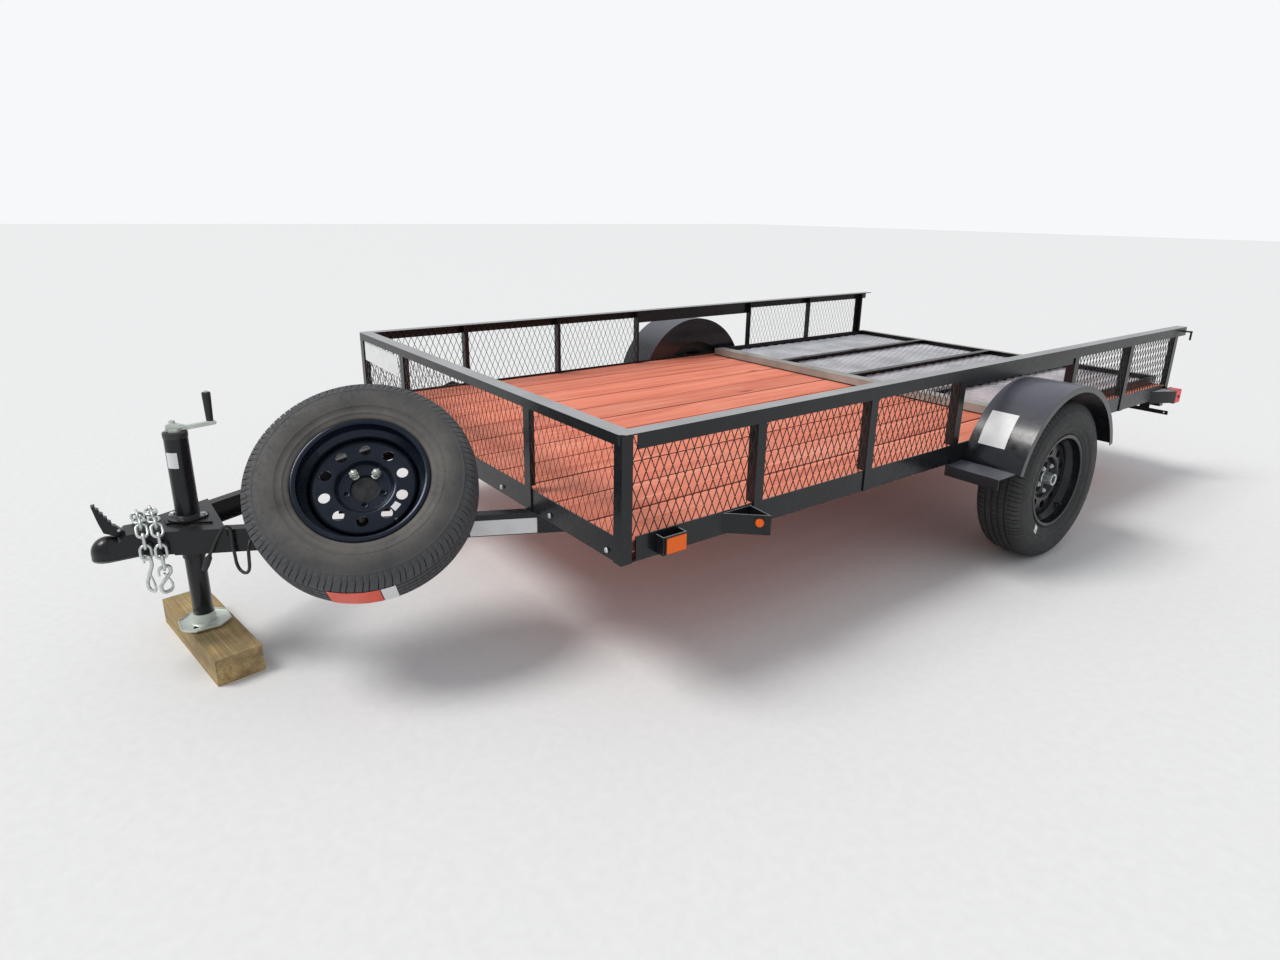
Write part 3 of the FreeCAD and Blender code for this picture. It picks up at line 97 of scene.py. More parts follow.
def make_camera():
    cy, sy = math.cos(CAMERA_YAW), math.sin(CAMERA_YAW)
    ahead = Vector((-sy * math.cos(CAMERA_PITCH), cy * math.cos(CAMERA_PITCH), math.sin(CAMERA_PITCH)))
    level = Vector((cy, sy, 0))
    upright = level.cross(ahead)
    right = math.cos(CAMERA_ROLL) * level + math.sin(CAMERA_ROLL) * upright
    up = -math.sin(CAMERA_ROLL) * level + math.cos(CAMERA_ROLL) * upright
    data = bpy.data.cameras.new("camera")
    data.sensor_width = 36.0
    data.lens = FOCAL_PIXELS / PHOTO[0] * data.sensor_width
    data.shift_x = (PHOTO[0] / 2 - PRINCIPAL[0]) / PHOTO[0]
    data.shift_y = (PRINCIPAL[1] - PHOTO[1] / 2) / PHOTO[0]
    data.clip_end = 200
    camera = bpy.data.objects.new("camera", data)
    bpy.context.collection.objects.link(camera)
    turn = Matrix((right, up, -ahead)).transposed().to_4x4()
    turn.translation = place(*CAMERA_AT)
    camera.matrix_world = turn
    bpy.context.scene.camera = camera


make_camera()


# Materials

def feed(tree, socket, value):
    # Links a node's output to the socket, or sets a number, vector or colour on it.
    if isinstance(value, bpy.types.NodeSocket):
        tree.links.new(value, socket)
    elif socket.type == "RGBA" and len(value) == 3:
        socket.default_value = (*value, 1)
    else:
        socket.default_value = value


def add(tree, kind, inputs=None, **settings):
    made = tree.nodes.new(kind)
    for key, value in settings.items():
        setattr(made, key, value)
    for key, value in (inputs or {}).items():
        feed(tree, made.inputs[key], value)
    return made


class Look:
    # A material in the making: each method adds a node and returns what comes out of it.

    def __init__(self, name):
        self.material = bpy.data.materials.new(name)
        self.material.use_nodes = True
        self.tree = self.material.node_tree
        coords = self.add("ShaderNodeTexCoord")
        self.at = coords.outputs["Object"]
        self.facing = coords.outputs["Normal"]

    def add(self, kind, inputs=None, **settings):
        return add(self.tree, kind, inputs, **settings)

    def mapped(self, vector, **inputs):
        return self.add("ShaderNodeMapping", {"Vector": vector, **inputs}).outputs[0]

    def noise(self, vector, scale, detail=4.0, roughness=0.5, distortion=0.0):
        return self.add("ShaderNodeTexNoise", {"Vector": vector, "Scale": scale, "Detail": detail,
                                               "Roughness": roughness, "Distortion": distortion}).outputs["Fac"]

    def spread(self, value, low, high, to_low=0.0, to_high=1.0):
        return self.add("ShaderNodeMapRange", {"Value": value, "From Min": low, "From Max": high,
                                               "To Min": to_low, "To Max": to_high}).outputs["Result"]

    def maths(self, operation, a, b=0.0):
        return self.add("ShaderNodeMath", {0: a, 1: b}, operation=operation).outputs[0]

    def times(self, a, b):
        return self.maths("MULTIPLY", a, b)

    def plus(self, a, b):
        return self.maths("ADD", a, b)

    def ramp(self, value, *stops):
        made = self.add("ShaderNodeValToRGB", {"Fac": value})
        elements = made.color_ramp.elements
        while len(elements) < len(stops):
            elements.new(0.5)
        for element, (position, colour) in zip(elements, stops):
            element.position = position
            element.color = (*colour, 1)
        return made.outputs["Color"]

    def mixed(self, factor, a, b, blend="MIX"):
        return self.add("ShaderNodeMix", {0: factor, 6: a, 7: b}, data_type="RGBA", blend_type=blend).outputs[2]

    def tinted(self, tone, tint, value, low, high, share):
        # The tint lies where the value is high, up to its share.
        return self.mixed(self.times(self.spread(value, low, high), share), tone, tint)

    def finish(self, colour, rough, height, strength, distance, uniform=None):
        bump = self.add("ShaderNodeBump", {"Height": height, "Strength": strength, "Distance": distance})
        inputs = {"Base Color": colour, "Roughness": rough, "Normal": bump.outputs["Normal"], **(uniform or {})}
        for key, value in inputs.items():
            feed(self.tree, self.tree.nodes["Principled BSDF"].inputs[key], value)
        return self.material


ROAD_DUST = (0.25, 0.225, 0.2)


def painted_steel(name, dark, light, rough, dust, coat, sheen_veil=0.0, sheen_and_dust_tone=ROAD_DUST, shine=0.3, tint=(1, 1, 1)):
    # Enamel: slow changes of tone, orange peel, and road dust that lies on the upward faces. A veil, where given, is
    # painted sheen: it lightens the upward faces towards the given tone as a painted sky reflection over the dust.
    look = Look(name)
    clouds = look.noise(look.at, 5.0, 5.0, 0.55)
    fine = look.noise(look.at, 42.0, 4.0, 0.6)
    up = look.add("ShaderNodeSeparateXYZ", {0: look.facing}).outputs["Z"]
    lying = look.times(look.spread(up, 0.2, 1.0), look.spread(fine, 0.35, 0.8))
    specks = look.spread(look.noise(look.at, 260.0, 2.0), 0.68, 0.74)
    dust_and_sheen_mask = look.times(look.plus(lying, look.times(specks, 0.2)), dust)
    # Painted sheen: the upward faces are lightened as a sky reflection would lighten them.
    if sheen_veil:
        sheen_cover = look.times(look.spread(up, 0.6, 0.95), look.spread(clouds, 0.25, 0.75, sheen_veil * 0.72, sheen_veil))
        dust_and_sheen_mask = look.maths("MAXIMUM", dust_and_sheen_mask, sheen_cover)
    base = look.mixed(look.spread(clouds, 0.3, 0.7), dark, light)
    smear = look.plus(look.spread(fine, 0.3, 0.75, rough - 0.05, rough + 0.1), look.times(dust_and_sheen_mask, 0.5))
    return look.finish(look.mixed(dust_and_sheen_mask, base, sheen_and_dust_tone), smear, look.noise(look.at, 380.0, 2.0), 0.06, 0.0008,
                       {"Specular IOR Level": shine, "Coat Weight": coat, "Coat Roughness": 0.12,
                        "Specular Tint": tint})


def board_wood():
    # Red stained planks: each plank has its own tone and grain; the plank sides in the gaps are painted dark as a
    # painted shade.
    look = Look("stained_boards")
    parts = look.add("ShaderNodeSeparateXYZ", {0: look.at}).outputs
    plank = look.maths("FLOOR", look.maths("DIVIDE", look.plus(parts["X"], DECK_HALF / 1000), BOARD_PITCH / 1000))
    own = look.add("ShaderNodeTexWhiteNoise", {"W": plank}, noise_dimensions="1D").outputs
    shift = look.add("ShaderNodeVectorMath", {0: own["Color"], 1: (7.0, 9.0, 3.0)}, operation="MULTIPLY")
    moved = look.add("ShaderNodeVectorMath", {0: look.at, 1: shift.outputs[0]}, operation="ADD").outputs[0]
    grain = look.noise(look.mapped(moved, Scale=(26, 1.3, 26)), 1.0, 7.0, 0.62, 0.6)
    fibres = look.noise(look.mapped(moved, Scale=(330, 5, 330)), 1.0, 4.0, 0.6)
    rings = look.add("ShaderNodeTexWave", {"Vector": look.mapped(moved, Scale=(9, 0.5, 9)), "Scale": 1.6,
                                           "Distortion": 7.0, "Detail": 3.0, "Detail Scale": 1.2}).outputs["Fac"]
    tone = look.ramp(look.spread(grain, 0.3, 0.72), (0.0, (0.58, 0.14, 0.08)), (0.35, (0.74, 0.205, 0.125)),
                     (0.7, (0.83, 0.26, 0.165)), (1.0, (0.88, 0.35, 0.24)))
    tone = look.tinted(tone, (0.55, 0.12, 0.065), rings, 0.55, 0.95, 0.2)
    tone = look.tinted(tone, (0.33, 0.07, 0.045), fibres, 0.62, 0.8, 0.35)
    tone = look.tinted(tone, (0.88, 0.38, 0.27), look.noise(moved, 2.2, 4.0, 0.55), 0.5, 0.75, 0.35)
    each = look.spread(own["Value"], 0, 1, 0.9, 1.06)
    gain = look.add("ShaderNodeCombineColor", {0: each, 1: each, 2: each}).outputs[0]
    tone = look.mixed(1.0, tone, gain, "MULTIPLY")
    knots = look.add("ShaderNodeTexVoronoi", {"Vector": look.mapped(moved, Scale=(5.2, 1.15, 5.2)), "Scale": 1.0})
    tone = look.mixed(look.spread(knots.outputs["Distance"], 0.03, 0.085, 0.75, 0.0), tone, (0.16, 0.035, 0.02))
    # Painted shade on the sides, between the plank's rounded edge and its lower face: the gaps between planks are
    # darkened as shade would darken them.
    side = look.times(look.spread(parts["Z"], (DECK_TOP - 5.5) / 1000, (DECK_TOP - 2) / 1000, 0.93, 0.0),
                      look.spread(parts["Z"], (DECK_TOP - 37) / 1000, (DECK_TOP - 34) / 1000))
    tone = look.mixed(side, tone, (0.045, 0.012, 0.009))
    relief = look.plus(look.times(grain, 0.6), look.times(fibres, 0.6))
    return look.finish(tone, look.spread(grain, 0.3, 0.7, 0.62, 0.85), relief, 0.5, 0.0016)


def timber_wood():
    # Yellow treated timber: rings round a pith outside the block, dirt and a green stain.
    look = Look("block_timber")
    turned_at = look.mapped(look.at, Rotation=(0, 0, math.radians(-8)))
    grain = look.noise(look.mapped(turned_at, Scale=(2.0, 40, 40)), 1.0, 6.0, 0.6, 0.5)
    pith = look.mapped(turned_at, Location=(0, 2.35, 0.035), Scale=(0.12, 1, 1))
    rings = look.add("ShaderNodeTexWave", {"Vector": pith, "Scale": 42.0, "Distortion": 2.0, "Detail": 3.0,
                                           "Detail Scale": 1.5}, wave_type="RINGS", rings_direction="X").outputs["Fac"]
    tone = look.ramp(look.spread(grain, 0.3, 0.7), (0.0, (0.25, 0.165, 0.07)), (0.5, (0.44, 0.31, 0.135)),
                     (1.0, (0.6, 0.455, 0.235)))
    tone = look.tinted(tone, (0.3, 0.17, 0.06), rings, 0.5, 0.9, 0.4)
    tone = look.tinted(tone, (0.15, 0.12, 0.075), look.noise(turned_at, 9.0, 5.0, 0.6), 0.45, 0.75, 0.7)
    tone = look.tinted(tone, (0.22, 0.24, 0.1), look.noise(turned_at, 16.0, 3.0), 0.52, 0.75, 0.45)
    return look.finish(tone, 0.82, look.plus(grain, look.times(rings, 0.4)), 0.6, 0.002)


def rubber(name, dark, dusty, amount, centre=None):
    # Tyre rubber with dust in clouds.
    look = Look(name)
    clouds = look.noise(look.at, 7.0, 6.0, 0.6)
    fine = look.noise(look.at, 90.0, 4.0, 0.65)
    tone = look.tinted(dark, dusty, clouds, 0.25, 0.75, amount)
    tone = look.tinted(tone, dark, fine, 0.5, 0.8, 0.3)
    if centre is not None:
        # Brown dust round the bead, a greyer band on the shoulder.
        out = look.add("ShaderNodeVectorMath", {0: look.at, 1: tuple(centre)}, operation="DISTANCE").outputs["Value"]
        inner = look.times(look.spread(out, 0.315, 0.22), look.spread(clouds, 0.3, 0.6, 0.2, 0.7))
        tone = look.mixed(inner, tone, (0.145, 0.13, 0.115))
        tone = look.mixed(look.spread(out, 0.3, 0.335, 0.0, 0.5), tone, (0.075, 0.08, 0.09))
    return look.finish(tone, look.spread(fine, 0.3, 0.7, 0.55, 0.8), fine, 0.18, 0.0008, {"Specular IOR Level": 0.45})


def plated(name, base, tint, rough, metallic=0.9):
    # Zinc plate with spangle and dull patches.
    look = Look(name)
    spangle = look.add("ShaderNodeTexVoronoi", {"Vector": look.at, "Scale": 160.0}).outputs["Color"]
    cell = look.add("ShaderNodeSeparateColor", {0: spangle}).outputs[0]
    clouds = look.noise(look.at, 24.0, 5.0, 0.6)
    dull = look.plus(look.spread(clouds, 0.25, 0.75, rough - 0.08, rough + 0.12), look.times(cell, 0.08))
    return look.finish(look.mixed(look.spread(clouds, 0.3, 0.7), base, tint), dull,
                       look.plus(clouds, look.times(cell, 0.2)), 0.12, 0.0008, {"Metallic": metallic})


def moulded(name, base, deep, rough=0.45, texture=220.0, strength=0.15):
    # Moulded plastic or rubber with a light texture.
    look = Look(name)
    clouds = look.noise(look.at, 20.0, 4.0)
    fine = look.noise(look.at, texture, 3.0, 0.6)
    return look.finish(look.mixed(look.spread(clouds, 0.3, 0.7), base, deep),
                       look.spread(fine, 0.3, 0.7, rough - 0.06, rough + 0.1), fine, strength, 0.0006)


def lens(name, base, deep, painted_glow):
    # Lamp lens with pressed prisms. Its emission is a painted glow: the lens shines in its own colour though no lamp is
    # lit.
    look = Look(name)
    prisms = look.add("ShaderNodeTexVoronoi", {"Vector": look.at, "Scale": 150.0, "Randomness": 0.0},
                      distance="CHEBYCHEV").outputs["Distance"]
    return look.finish(look.mixed(look.spread(prisms, 0.0, 0.55), base, deep),
                       look.spread(look.noise(look.at, 60.0, 3.0), 0.3, 0.7, 0.14, 0.3), prisms, 0.35, 0.0012,
                       {"Emission Color": base, "Emission Strength": painted_glow, "Specular IOR Level": 0.2,
                        "Coat Weight": 0.08})


def paper(name, base, worn):
    # A blank sticker: slightly yellowed, with scuffs.
    look = Look(name)
    clouds = look.noise(look.at, 18.0, 5.0, 0.6)
    scuffs = look.noise(look.mapped(look.at, Scale=(1, 4, 9)), 46.0, 4.0)
    tone = look.tinted(base, worn, clouds, 0.45, 0.8, 0.7)
    tone = look.tinted(tone, (0.38, 0.37, 0.35), scuffs, 0.62, 0.72, 0.4)
    return look.finish(tone, look.spread(clouds, 0.3, 0.7, 0.3, 0.5), clouds, 0.2, 0.001)


PAINT = painted_steel("black_enamel", (0.0065, 0.0075, 0.0095), (0.0125, 0.014, 0.0165), 0.26, 0.12, 0.1)
# Black enamel with road dust and a strong painted sheen: its upward faces are painted pale blue grey as a sky
# reflection.
PAINT_DUST_AND_SHEEN = painted_steel("black_enamel_handled", (0.0065, 0.0075, 0.009), (0.0125, 0.0135, 0.015), 0.3, 0.2, 0.1,
                          sheen_veil=0.88, sheen_and_dust_tone=(0.47, 0.485, 0.5))
PAINT_SHINE = painted_steel("black_enamel_smooth", (0.007, 0.008, 0.0105), (0.011, 0.0125, 0.0155), 0.2, 0.08, 0.15)
PAINT_MESH = painted_steel("black_enamel_mesh", (0.008, 0.0085, 0.0095), (0.016, 0.017, 0.0185), 0.24, 0.1, 0.1)
# The gate's black mesh painted light grey: a painted glare, as if lit strands reflected the sky.
MESH_PAINTED_GLARE = painted_steel("gate_mesh_worn", (0.42, 0.45, 0.49), (0.7, 0.74, 0.79), 0.3, 0.1, 0.3, shine=0.5)
GATE_EDGE = painted_steel("gate_edge_scuffed", (0.24, 0.225, 0.2), (0.42, 0.4, 0.36), 0.36, 0.3, 0.1)
# The blue specular tint paints the rim's reflections blue, as a painted sky reflection.
WHEEL_PAINT = painted_steel("wheel_enamel", (0.0045, 0.0065, 0.012), (0.008, 0.011, 0.018), 0.2, 0.03, 0.12,
                            tint=(0.6, 0.72, 1.0))
# The fender's upward faces carry a painted sheen: a blue grey sky reflection painted over the enamel.
FENDER_PAINT = painted_steel("fender_enamel", (0.007, 0.008, 0.011), (0.013, 0.0145, 0.019), 0.2, 0.12, 0.3,
                             sheen_veil=0.5, sheen_and_dust_tone=(0.2, 0.205, 0.26), shine=0.4)
BOARDS = board_wood()
TIMBER = timber_wood()
RUBBER_WALL = rubber("tyre_sidewall", (0.03, 0.031, 0.033), (0.11, 0.105, 0.1), 0.75, SPARE_AT)
RUBBER_DARK = rubber("tyre_near_wall", (0.02, 0.021, 0.022), (0.06, 0.06, 0.06), 0.5)
ZINC = plated("zinc_plate", (0.72, 0.75, 0.75), (0.6, 0.64, 0.62), 0.34)
ZINC_PALE = plated("zinc_plate_pale", (0.72, 0.76, 0.7), (0.58, 0.63, 0.58), 0.42, 0.7)
GRIP = moulded("grip_rubber", (0.012, 0.012, 0.013), (0.02, 0.02, 0.021), 0.5)
CABLE = moulded("cable_jacket", (0.012, 0.012, 0.013), (0.022, 0.022, 0.022), 0.42, 300.0, 0.1)
LAMP_BODY = moulded("lamp_housing", (0.014, 0.014, 0.015), (0.024, 0.024, 0.024), 0.38)
# Both lenses carry a painted glow; the amber one also covers the front reflectors, which are no lamps.
AMBER = lens("amber_lens", (0.95, 0.18, 0.012), (0.62, 0.075, 0.006), 0.12)
RED = lens("red_lens", (0.78, 0.004, 0.006), (0.42, 0.002, 0.004), 0.22)
WHITE_LABEL = paper("white_label", (0.78, 0.79, 0.8), (0.66, 0.65, 0.62))
RED_LABEL = paper("orange_red_label", (0.78, 0.075, 0.03), (0.6, 0.07, 0.035))


# Mesh helpers

def shade_smooth(data, angle=None):
    for polygon in data.polygons:
        polygon.use_smooth = True
    if angle is not None:
        data.set_sharp_from_angle(angle=math.radians(angle))


def soften_edges(obj, width, segments, harden=False):
    edge = obj.modifiers.new("edges", "BEVEL")
    edge.width = width / 1000
    edge.segments = segments
    edge.limit_method = "ANGLE"
    edge.angle_limit = math.radians(35)
    edge.harden_normals = harden


def finish_object(name, data, material, body="root", slot="paint", node=None, smooth=None, bevel=0.0, segments=2):
    obj = bpy.data.objects.new(name, data)
    bpy.context.collection.objects.link(obj)
    data.materials.append(material)
    if smooth is not None or bevel:
        shade_smooth(data, smooth)
    if bevel:
        soften_edges(obj, bevel, segments, harden=True)
    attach(obj, body)
    if node:
        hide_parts(node)
    return obj


def mesh_piece(name, points, faces, material, **settings):
    data = bpy.data.meshes.new(name)
    data.from_pydata([tuple(p) for p in points], [], faces)
    data.validate()
    build = bmesh.new()
    build.from_mesh(data)
    bmesh.ops.recalc_face_normals(build, faces=build.faces)
    build.to_mesh(data)
    build.free()
    return finish_object(name, data, material, **settings)


def axes_of(axis):
    # Two directions square to the axis, the second as far up as it can be, or back for an upright axis, and the
    # axis itself.
    e3 = Vector(axis).normalized()
    e2 = UP if abs(e3.z) < 0.9 else BACK
    e2 = (e2 - e3 * e2.dot(e3)).normalized()
    return e2.cross(e3), e2, e3


def round_spot(at, axis, radius, degrees, height=0.0):
    # A point by its radius, its angle round the axis and its height along it, in millimetres.
    e1, e2, e3 = axes_of(axis)
    a = math.radians(degrees)
    return at + ((e1 * math.cos(a) + e2 * math.sin(a)) * radius + e3 * height) / 1000


def skin(rows, n, around=True, closed=False):
    # Four-sided faces between rows of n points each.
    faces = []
    for i in range(rows if closed else rows - 1):
        j = (i + 1) % rows
        for k in range(n if around else n - 1):
            m = (k + 1) % n
            faces.append((i * n + k, i * n + m, j * n + m, j * n + k))
    return faces


class Shape:
    # Collects points and faces of several forms for one piece.

    def __init__(self):
        self.points = []
        self.faces = []

    def add(self, points, faces):
        start = len(self.points)
        self.points += [Vector(p) for p in points]
        self.faces += [[start + i for i in face] for face in faces]

    def box(self, low, high):
        corners = [place(x, y, z) for x in sorted((low[0], high[0])) for y in (low[1], high[1])
                   for z in (low[2], high[2])]
        self.add(corners, [(0, 1, 3, 2), (4, 6, 7, 5), (0, 4, 5, 1), (2, 3, 7, 6), (0, 2, 6, 4), (1, 5, 7, 3)])

    def revolve(self, profile, steps, at, axis, start=0.0):
        # profile is (radius, height) pairs in millimetres; height runs along the axis from at. One that starts on
        # the axis makes a solid form, and any other a ring.
        e1, e2, e3 = axes_of(axis)
        ring = profile[0][0] > 0
        points = []
        n = len(profile)
        for s in range(steps):
            a = start + 2 * math.pi * s / steps
            out = e1 * math.cos(a) + e2 * math.sin(a)
            points += [at + (out * r + e3 * h) / 1000 for r, h in profile]
        faces = []
        for s in range(steps):
            t = (s + 1) % steps
            for i in range(n if ring else n - 1):
                j = (i + 1) % n
                faces.append((s * n + i, t * n + i, t * n + j, s * n + j))
        if not ring and profile[-1][0] > 0.01:
            faces.append([s * n + n - 1 for s in range(steps)])
        self.add(points, faces)

    def tube(self, path, radius, sides=10, closed=False):
        # A round bar along a list of points, its rings turned with the path; radius is one number or one a point.
        points = [Vector(p) for p in path]
        count = len(points)
        rings = []
        normal = None
        for i in range(count):
            if closed:
                tangent = (points[(i + 1) % count] - points[i - 1]).normalized()
            else:
                tangent = (points[min(i + 1, count - 1)] - points[max(i - 1, 0)]).normalized()
            if normal is None:
                normal = tangent.orthogonal().normalized()
            normal = (normal - tangent * normal.dot(tangent)).normalized()
            side = tangent.cross(normal)
            r = radius[i] if hasattr(radius, "__len__") else radius
            for k in range(sides):
                a = 2 * math.pi * k / sides
                rings.append(points[i] + (normal * math.cos(a) + side * math.sin(a)) * r / 1000)
        faces = skin(count, sides, closed=closed)
        if not closed:
            faces += [list(range(sides))[::-1], [(count - 1) * sides + k for k in range(sides)]]
        self.add(rings, faces)

    def make(self, name, material, **settings):
        return mesh_piece(name, self.points, self.faces, material, **settings)


def turned(name, material, at, axis, *profiles, **settings):
    # A piece turned round one axis, from pairs of a number of steps and a profile.
    shape = Shape()
    for steps, profile in profiles:
        shape.revolve(profile, steps, at, axis)
    return shape.make(name, material, **settings)


def boxed(name, material, *corners, **settings):
    # A piece of boxes, each from two opposite corners.
    shape = Shape()
    for low, high in corners:
        shape.box(low, high)
    return shape.make(name, material, **settings)


def lifted(base, *profile):
    # A profile whose heights count from the base.
    return [(r, base + h) for r, h in profile]


def hex_bolt(shape, at, axis, size, height):
    # A bolt head: washer, hexagon and a low crown.
    shape.revolve([(0, 0), (size * 1.15, 0), (size * 1.15, 1.6), (0, 1.6)], 20, at, axis)
    shape.revolve([(0, 1.6), (size * 0.86, 1.6), (size * 0.86, height - 1), (size * 0.74, height), (0, height)],
                  6, at, axis)


def round_bolt(shape, at, axis, size, height):
    # A carriage bolt's domed head.
    profile = [(0, 0), (size, 0)]
    for i in range(5):
        a = math.pi / 2 * i / 4
        profile.append((size * math.cos(a), 1.0 + (height - 1.0) * math.sin(a)))
    shape.revolve(profile, 20, at, axis)


def rounded(points, radius, steps=5):
    # A path whose inner corners are turned into arcs of that radius, in millimetres.
    points = [Vector(p) for p in points]
    path = [points[0]]
    for before, here, after in zip(points, points[1:], points[2:]):
        a = (before - here).normalized()
        b = (after - here).normalized()
        turn = math.pi - a.angle(b)
        if turn < 0.02:
            path.append(here)
            continue
        reach = min(radius / 1000 * math.tan(turn / 2), 0.48 * (before - here).length, 0.48 * (after - here).length)
        r = reach / math.tan(turn / 2)
        centre = here + (a + b).normalized() * r / math.cos(turn / 2)
        start = here + a * reach - centre
        end = here + b * reach - centre
        for i in range(steps + 1):
            path.append(centre + start.slerp(end, i / steps).normalized() * r)
    path.append(points[-1])
    return path


def smoothed(name, node, material, **settings):
    # A copy of a CAD node's mesh in its place, with welded seams, rounded edges and smooth faces.
    build = bmesh.new()
    build.from_mesh(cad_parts[node].data)
    bmesh.ops.remove_doubles(build, verts=build.verts, dist=0.00002)
    bmesh.ops.dissolve_limit(build, angle_limit=math.radians(1.0), verts=build.verts, edges=build.edges)
    data = bpy.data.meshes.new(name)
    build.to_mesh(data)
    build.free()
    finish_object(name, data, material, node=node, smooth=32, **settings)


def dress(name, material, bevel):
    # A CAD node that keeps its shape gets its material, and a small radius on its edges.
    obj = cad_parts[name]
    obj.data.materials.clear()
    obj.data.materials.append(material)
    if bevel:
        soften_edges(obj, bevel, 2)


# Wiring lead, from the gland on the left tongue member to its plug

# Each point: how far out from the web, how far forward, and its height.
LEAD_ROUTE = ((12, 0, 432), (38, 0, 432), (57, 4, 414), (58, 6, 378), (57, 8, 341), (44.5, 22.5, 322),
              (27, 43, 322), (14.5, 57.4, 341), (13, 59, 378), (16, 62, 408), (13, 60, 438), (12, 62, 467),
              (12, 80, 471), (14, 98, 443), (16, 117, 408), (15, 132, 374))
LEAD_GLAND_Y = -775.0
LEAD_OUT = Vector((math.cos(TONGUE_TURN), -math.sin(TONGUE_TURN), 0))
LEAD_FORWARD = Vector((-math.sin(TONGUE_TURN), -math.cos(TONGUE_TURN), 0))


def wiring_lead():
    root = Vector((tongue_edge(LEAD_GLAND_Y), LEAD_GLAND_Y, 0))
    points = [place(*(root + LEAD_OUT * a + LEAD_FORWARD * b + Vector((0, 0, z)))) for a, b, z in LEAD_ROUTE]
    data = bpy.data.curves.new("wiring_lead", "CURVE")
    data.dimensions = "3D"
    data.resolution_u = 12
    data.bevel_depth = 0.005
    data.bevel_resolution = 6
    data.use_fill_caps = True
    spline = data.splines.new("NURBS")
    spline.points.add(len(points) - 1)
    for point, at in zip(spline.points, points):
        point.co = (*at, 1)
    spline.order_u = 3
    spline.use_endpoint_u = True
    lead = bpy.data.objects.new("wiring_lead", data)
    bpy.context.collection.objects.link(lead)
    data.materials.append(CABLE)
    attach(lead, "root")
    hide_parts("harness_lead")
    turned("lead_gland", GRIP, points[0] - LEAD_OUT * 0.012, LEAD_OUT,
           (28, [(0, 0), (13, 0), (13, 3), (10.5, 4.4), (9.2, 8), (8.0, 12), (7.4, 13.5), (8.0, 15), (7.0, 17),
                 (7.6, 19), (6.5, 21), (7.0, 23), (6.1, 25), (5.9, 30), (5.2, 31), (0, 31)]),
           slot="cable", smooth=38, node="harness_gland")
    plug = turned("lead_plug", CABLE, points[-1], points[-1] - points[-2],
                  (28, [(0, -6), (5.6, -6), (6.4, -2), (8.2, 1), (9.6, 4), (10, 8), (9.4, 9), (9.4, 11), (10, 12),
                        (9.4, 13), (9.4, 15), (10, 16), (9.4, 17), (9.4, 19), (10, 20), (10, 34), (9.0, 35),
                        (8.6, 48), (7.8, 49.4), (0, 49.4)]),
                  slot="cable", smooth=38, node="harness_plug")


wiring_lead()


# Nodes that keep their CAD shape

for material, bevel, names in (
        (PAINT, 1.2, "side_rail_left side_rail_right front_rail rear_rail crossmembers"),
        (PAINT, 1.2, "posts_left posts_right front_posts"),
        # Top rails and lamp brackets take the enamel whose upward faces carry a painted sheen.
        (PAINT_DUST_AND_SHEEN, 1.4, "top_rail_left top_rail_right top_rail_front"),
        (PAINT, 0.8, "fence_plates spring_hangers hinge_lugs gate_frame"),
        (PAINT, 1.6, "tongue_left tongue_right"),
        (PAINT, 1.0, "tongue_plate"),
        (PAINT, 0.6, "licence_bracket spare_bracket"),
        (PAINT, 0.0, "axle gate_pins"),
        (PAINT_DUST_AND_SHEEN, 0.5, "lamp_brackets"),
        (TIMBER, 3.0, "wood_block")):
    for name in names.split():
        dress(name, material, bevel)
smoothed("coupler_pressing", "coupler", PAINT, bevel=2.0, segments=3)
smoothed("coupler_lever", "coupler_latch", PAINT, bevel=0.8)
smoothed("jack_outer_tube", "jack_tube", PAINT, bevel=0.6)
smoothed("jack_crank_arm", "jack_crank", ZINC_PALE, slot="zinc", bevel=2.4, segments=3)
smoothed("left_fender", "fender_left", FENDER_PAINT, bevel=0.7)
smoothed("right_fender", "fender_right", FENDER_PAINT, bevel=0.7)


# Deck

BOARD_THICK = 38.0
BOARD_ENDS = (11.0, FRAME_LENGTH - 11.0)
BOARD_GAPS = (3.5, 10.0, 7.0, 8.5, 6.5, 10.5, 8.0, 7.0, 10.0, 7.5, 9.0, 4.5)
BOARD_CROWN = [(0.0, -BOARD_THICK), (0.0, -3.0), (0.9, -0.9), (3.0, 0.0)]
SCREW_ROWS = (60, 579, 1125, 1675, 2546, 3120, 3690)


def deck():
    shape = Shape()
    rows = 30
    for i in range(BOARDS_ACROSS):
        x0 = -DECK_HALF + i * BOARD_PITCH + BOARD_GAPS[i] / 2
        x1 = -DECK_HALF + (i + 1) * BOARD_PITCH - BOARD_GAPS[i + 1] / 2
        section = BOARD_CROWN + [(x1 - x0 - a, b) for a, b in reversed(BOARD_CROWN)]
        points = []
        for j in range(rows + 1):
            y = BOARD_ENDS[0] + (BOARD_ENDS[1] - BOARD_ENDS[0]) * j / rows
            sway = 0.5 * noise.noise(Vector((i * 3.1, y / 700, 0)))
            lift = -0.7 + 0.7 * noise.noise(Vector((i * 5.7, y / 500, 4)))
            points += [place(x0 + a + sway, y, DECK_TOP + (b if b == -BOARD_THICK else b + lift)) for a, b in section]
        n = len(section)
        shape.add(points, [list(range(n)), [rows * n + k for k in range(n)][::-1]] + skin(rows + 1, n))
    shape.make("planks", BOARDS, slot="wood_deck", smooth=30, node="deck_boards")
    screws = Shape()
    for y in SCREW_ROWS:
        for i in range(BOARDS_ACROSS):
            x = -DECK_HALF + (i + 0.5) * BOARD_PITCH
            for side in (-1, 1):
                at = place(x + side * 62 + 3 * math.sin(i * 4 + y), y + 5 * math.sin(i * 2.3 + side), DECK_TOP)
                screws.revolve([(0, -2.2), (4.4, -2.2), (4.4, -1.2), (2.2, -0.9), (0, -1.5)], 8, at, UP)
    screws.make("deck_screws", GRIP, smooth=40)


deck()


# Expanded metal

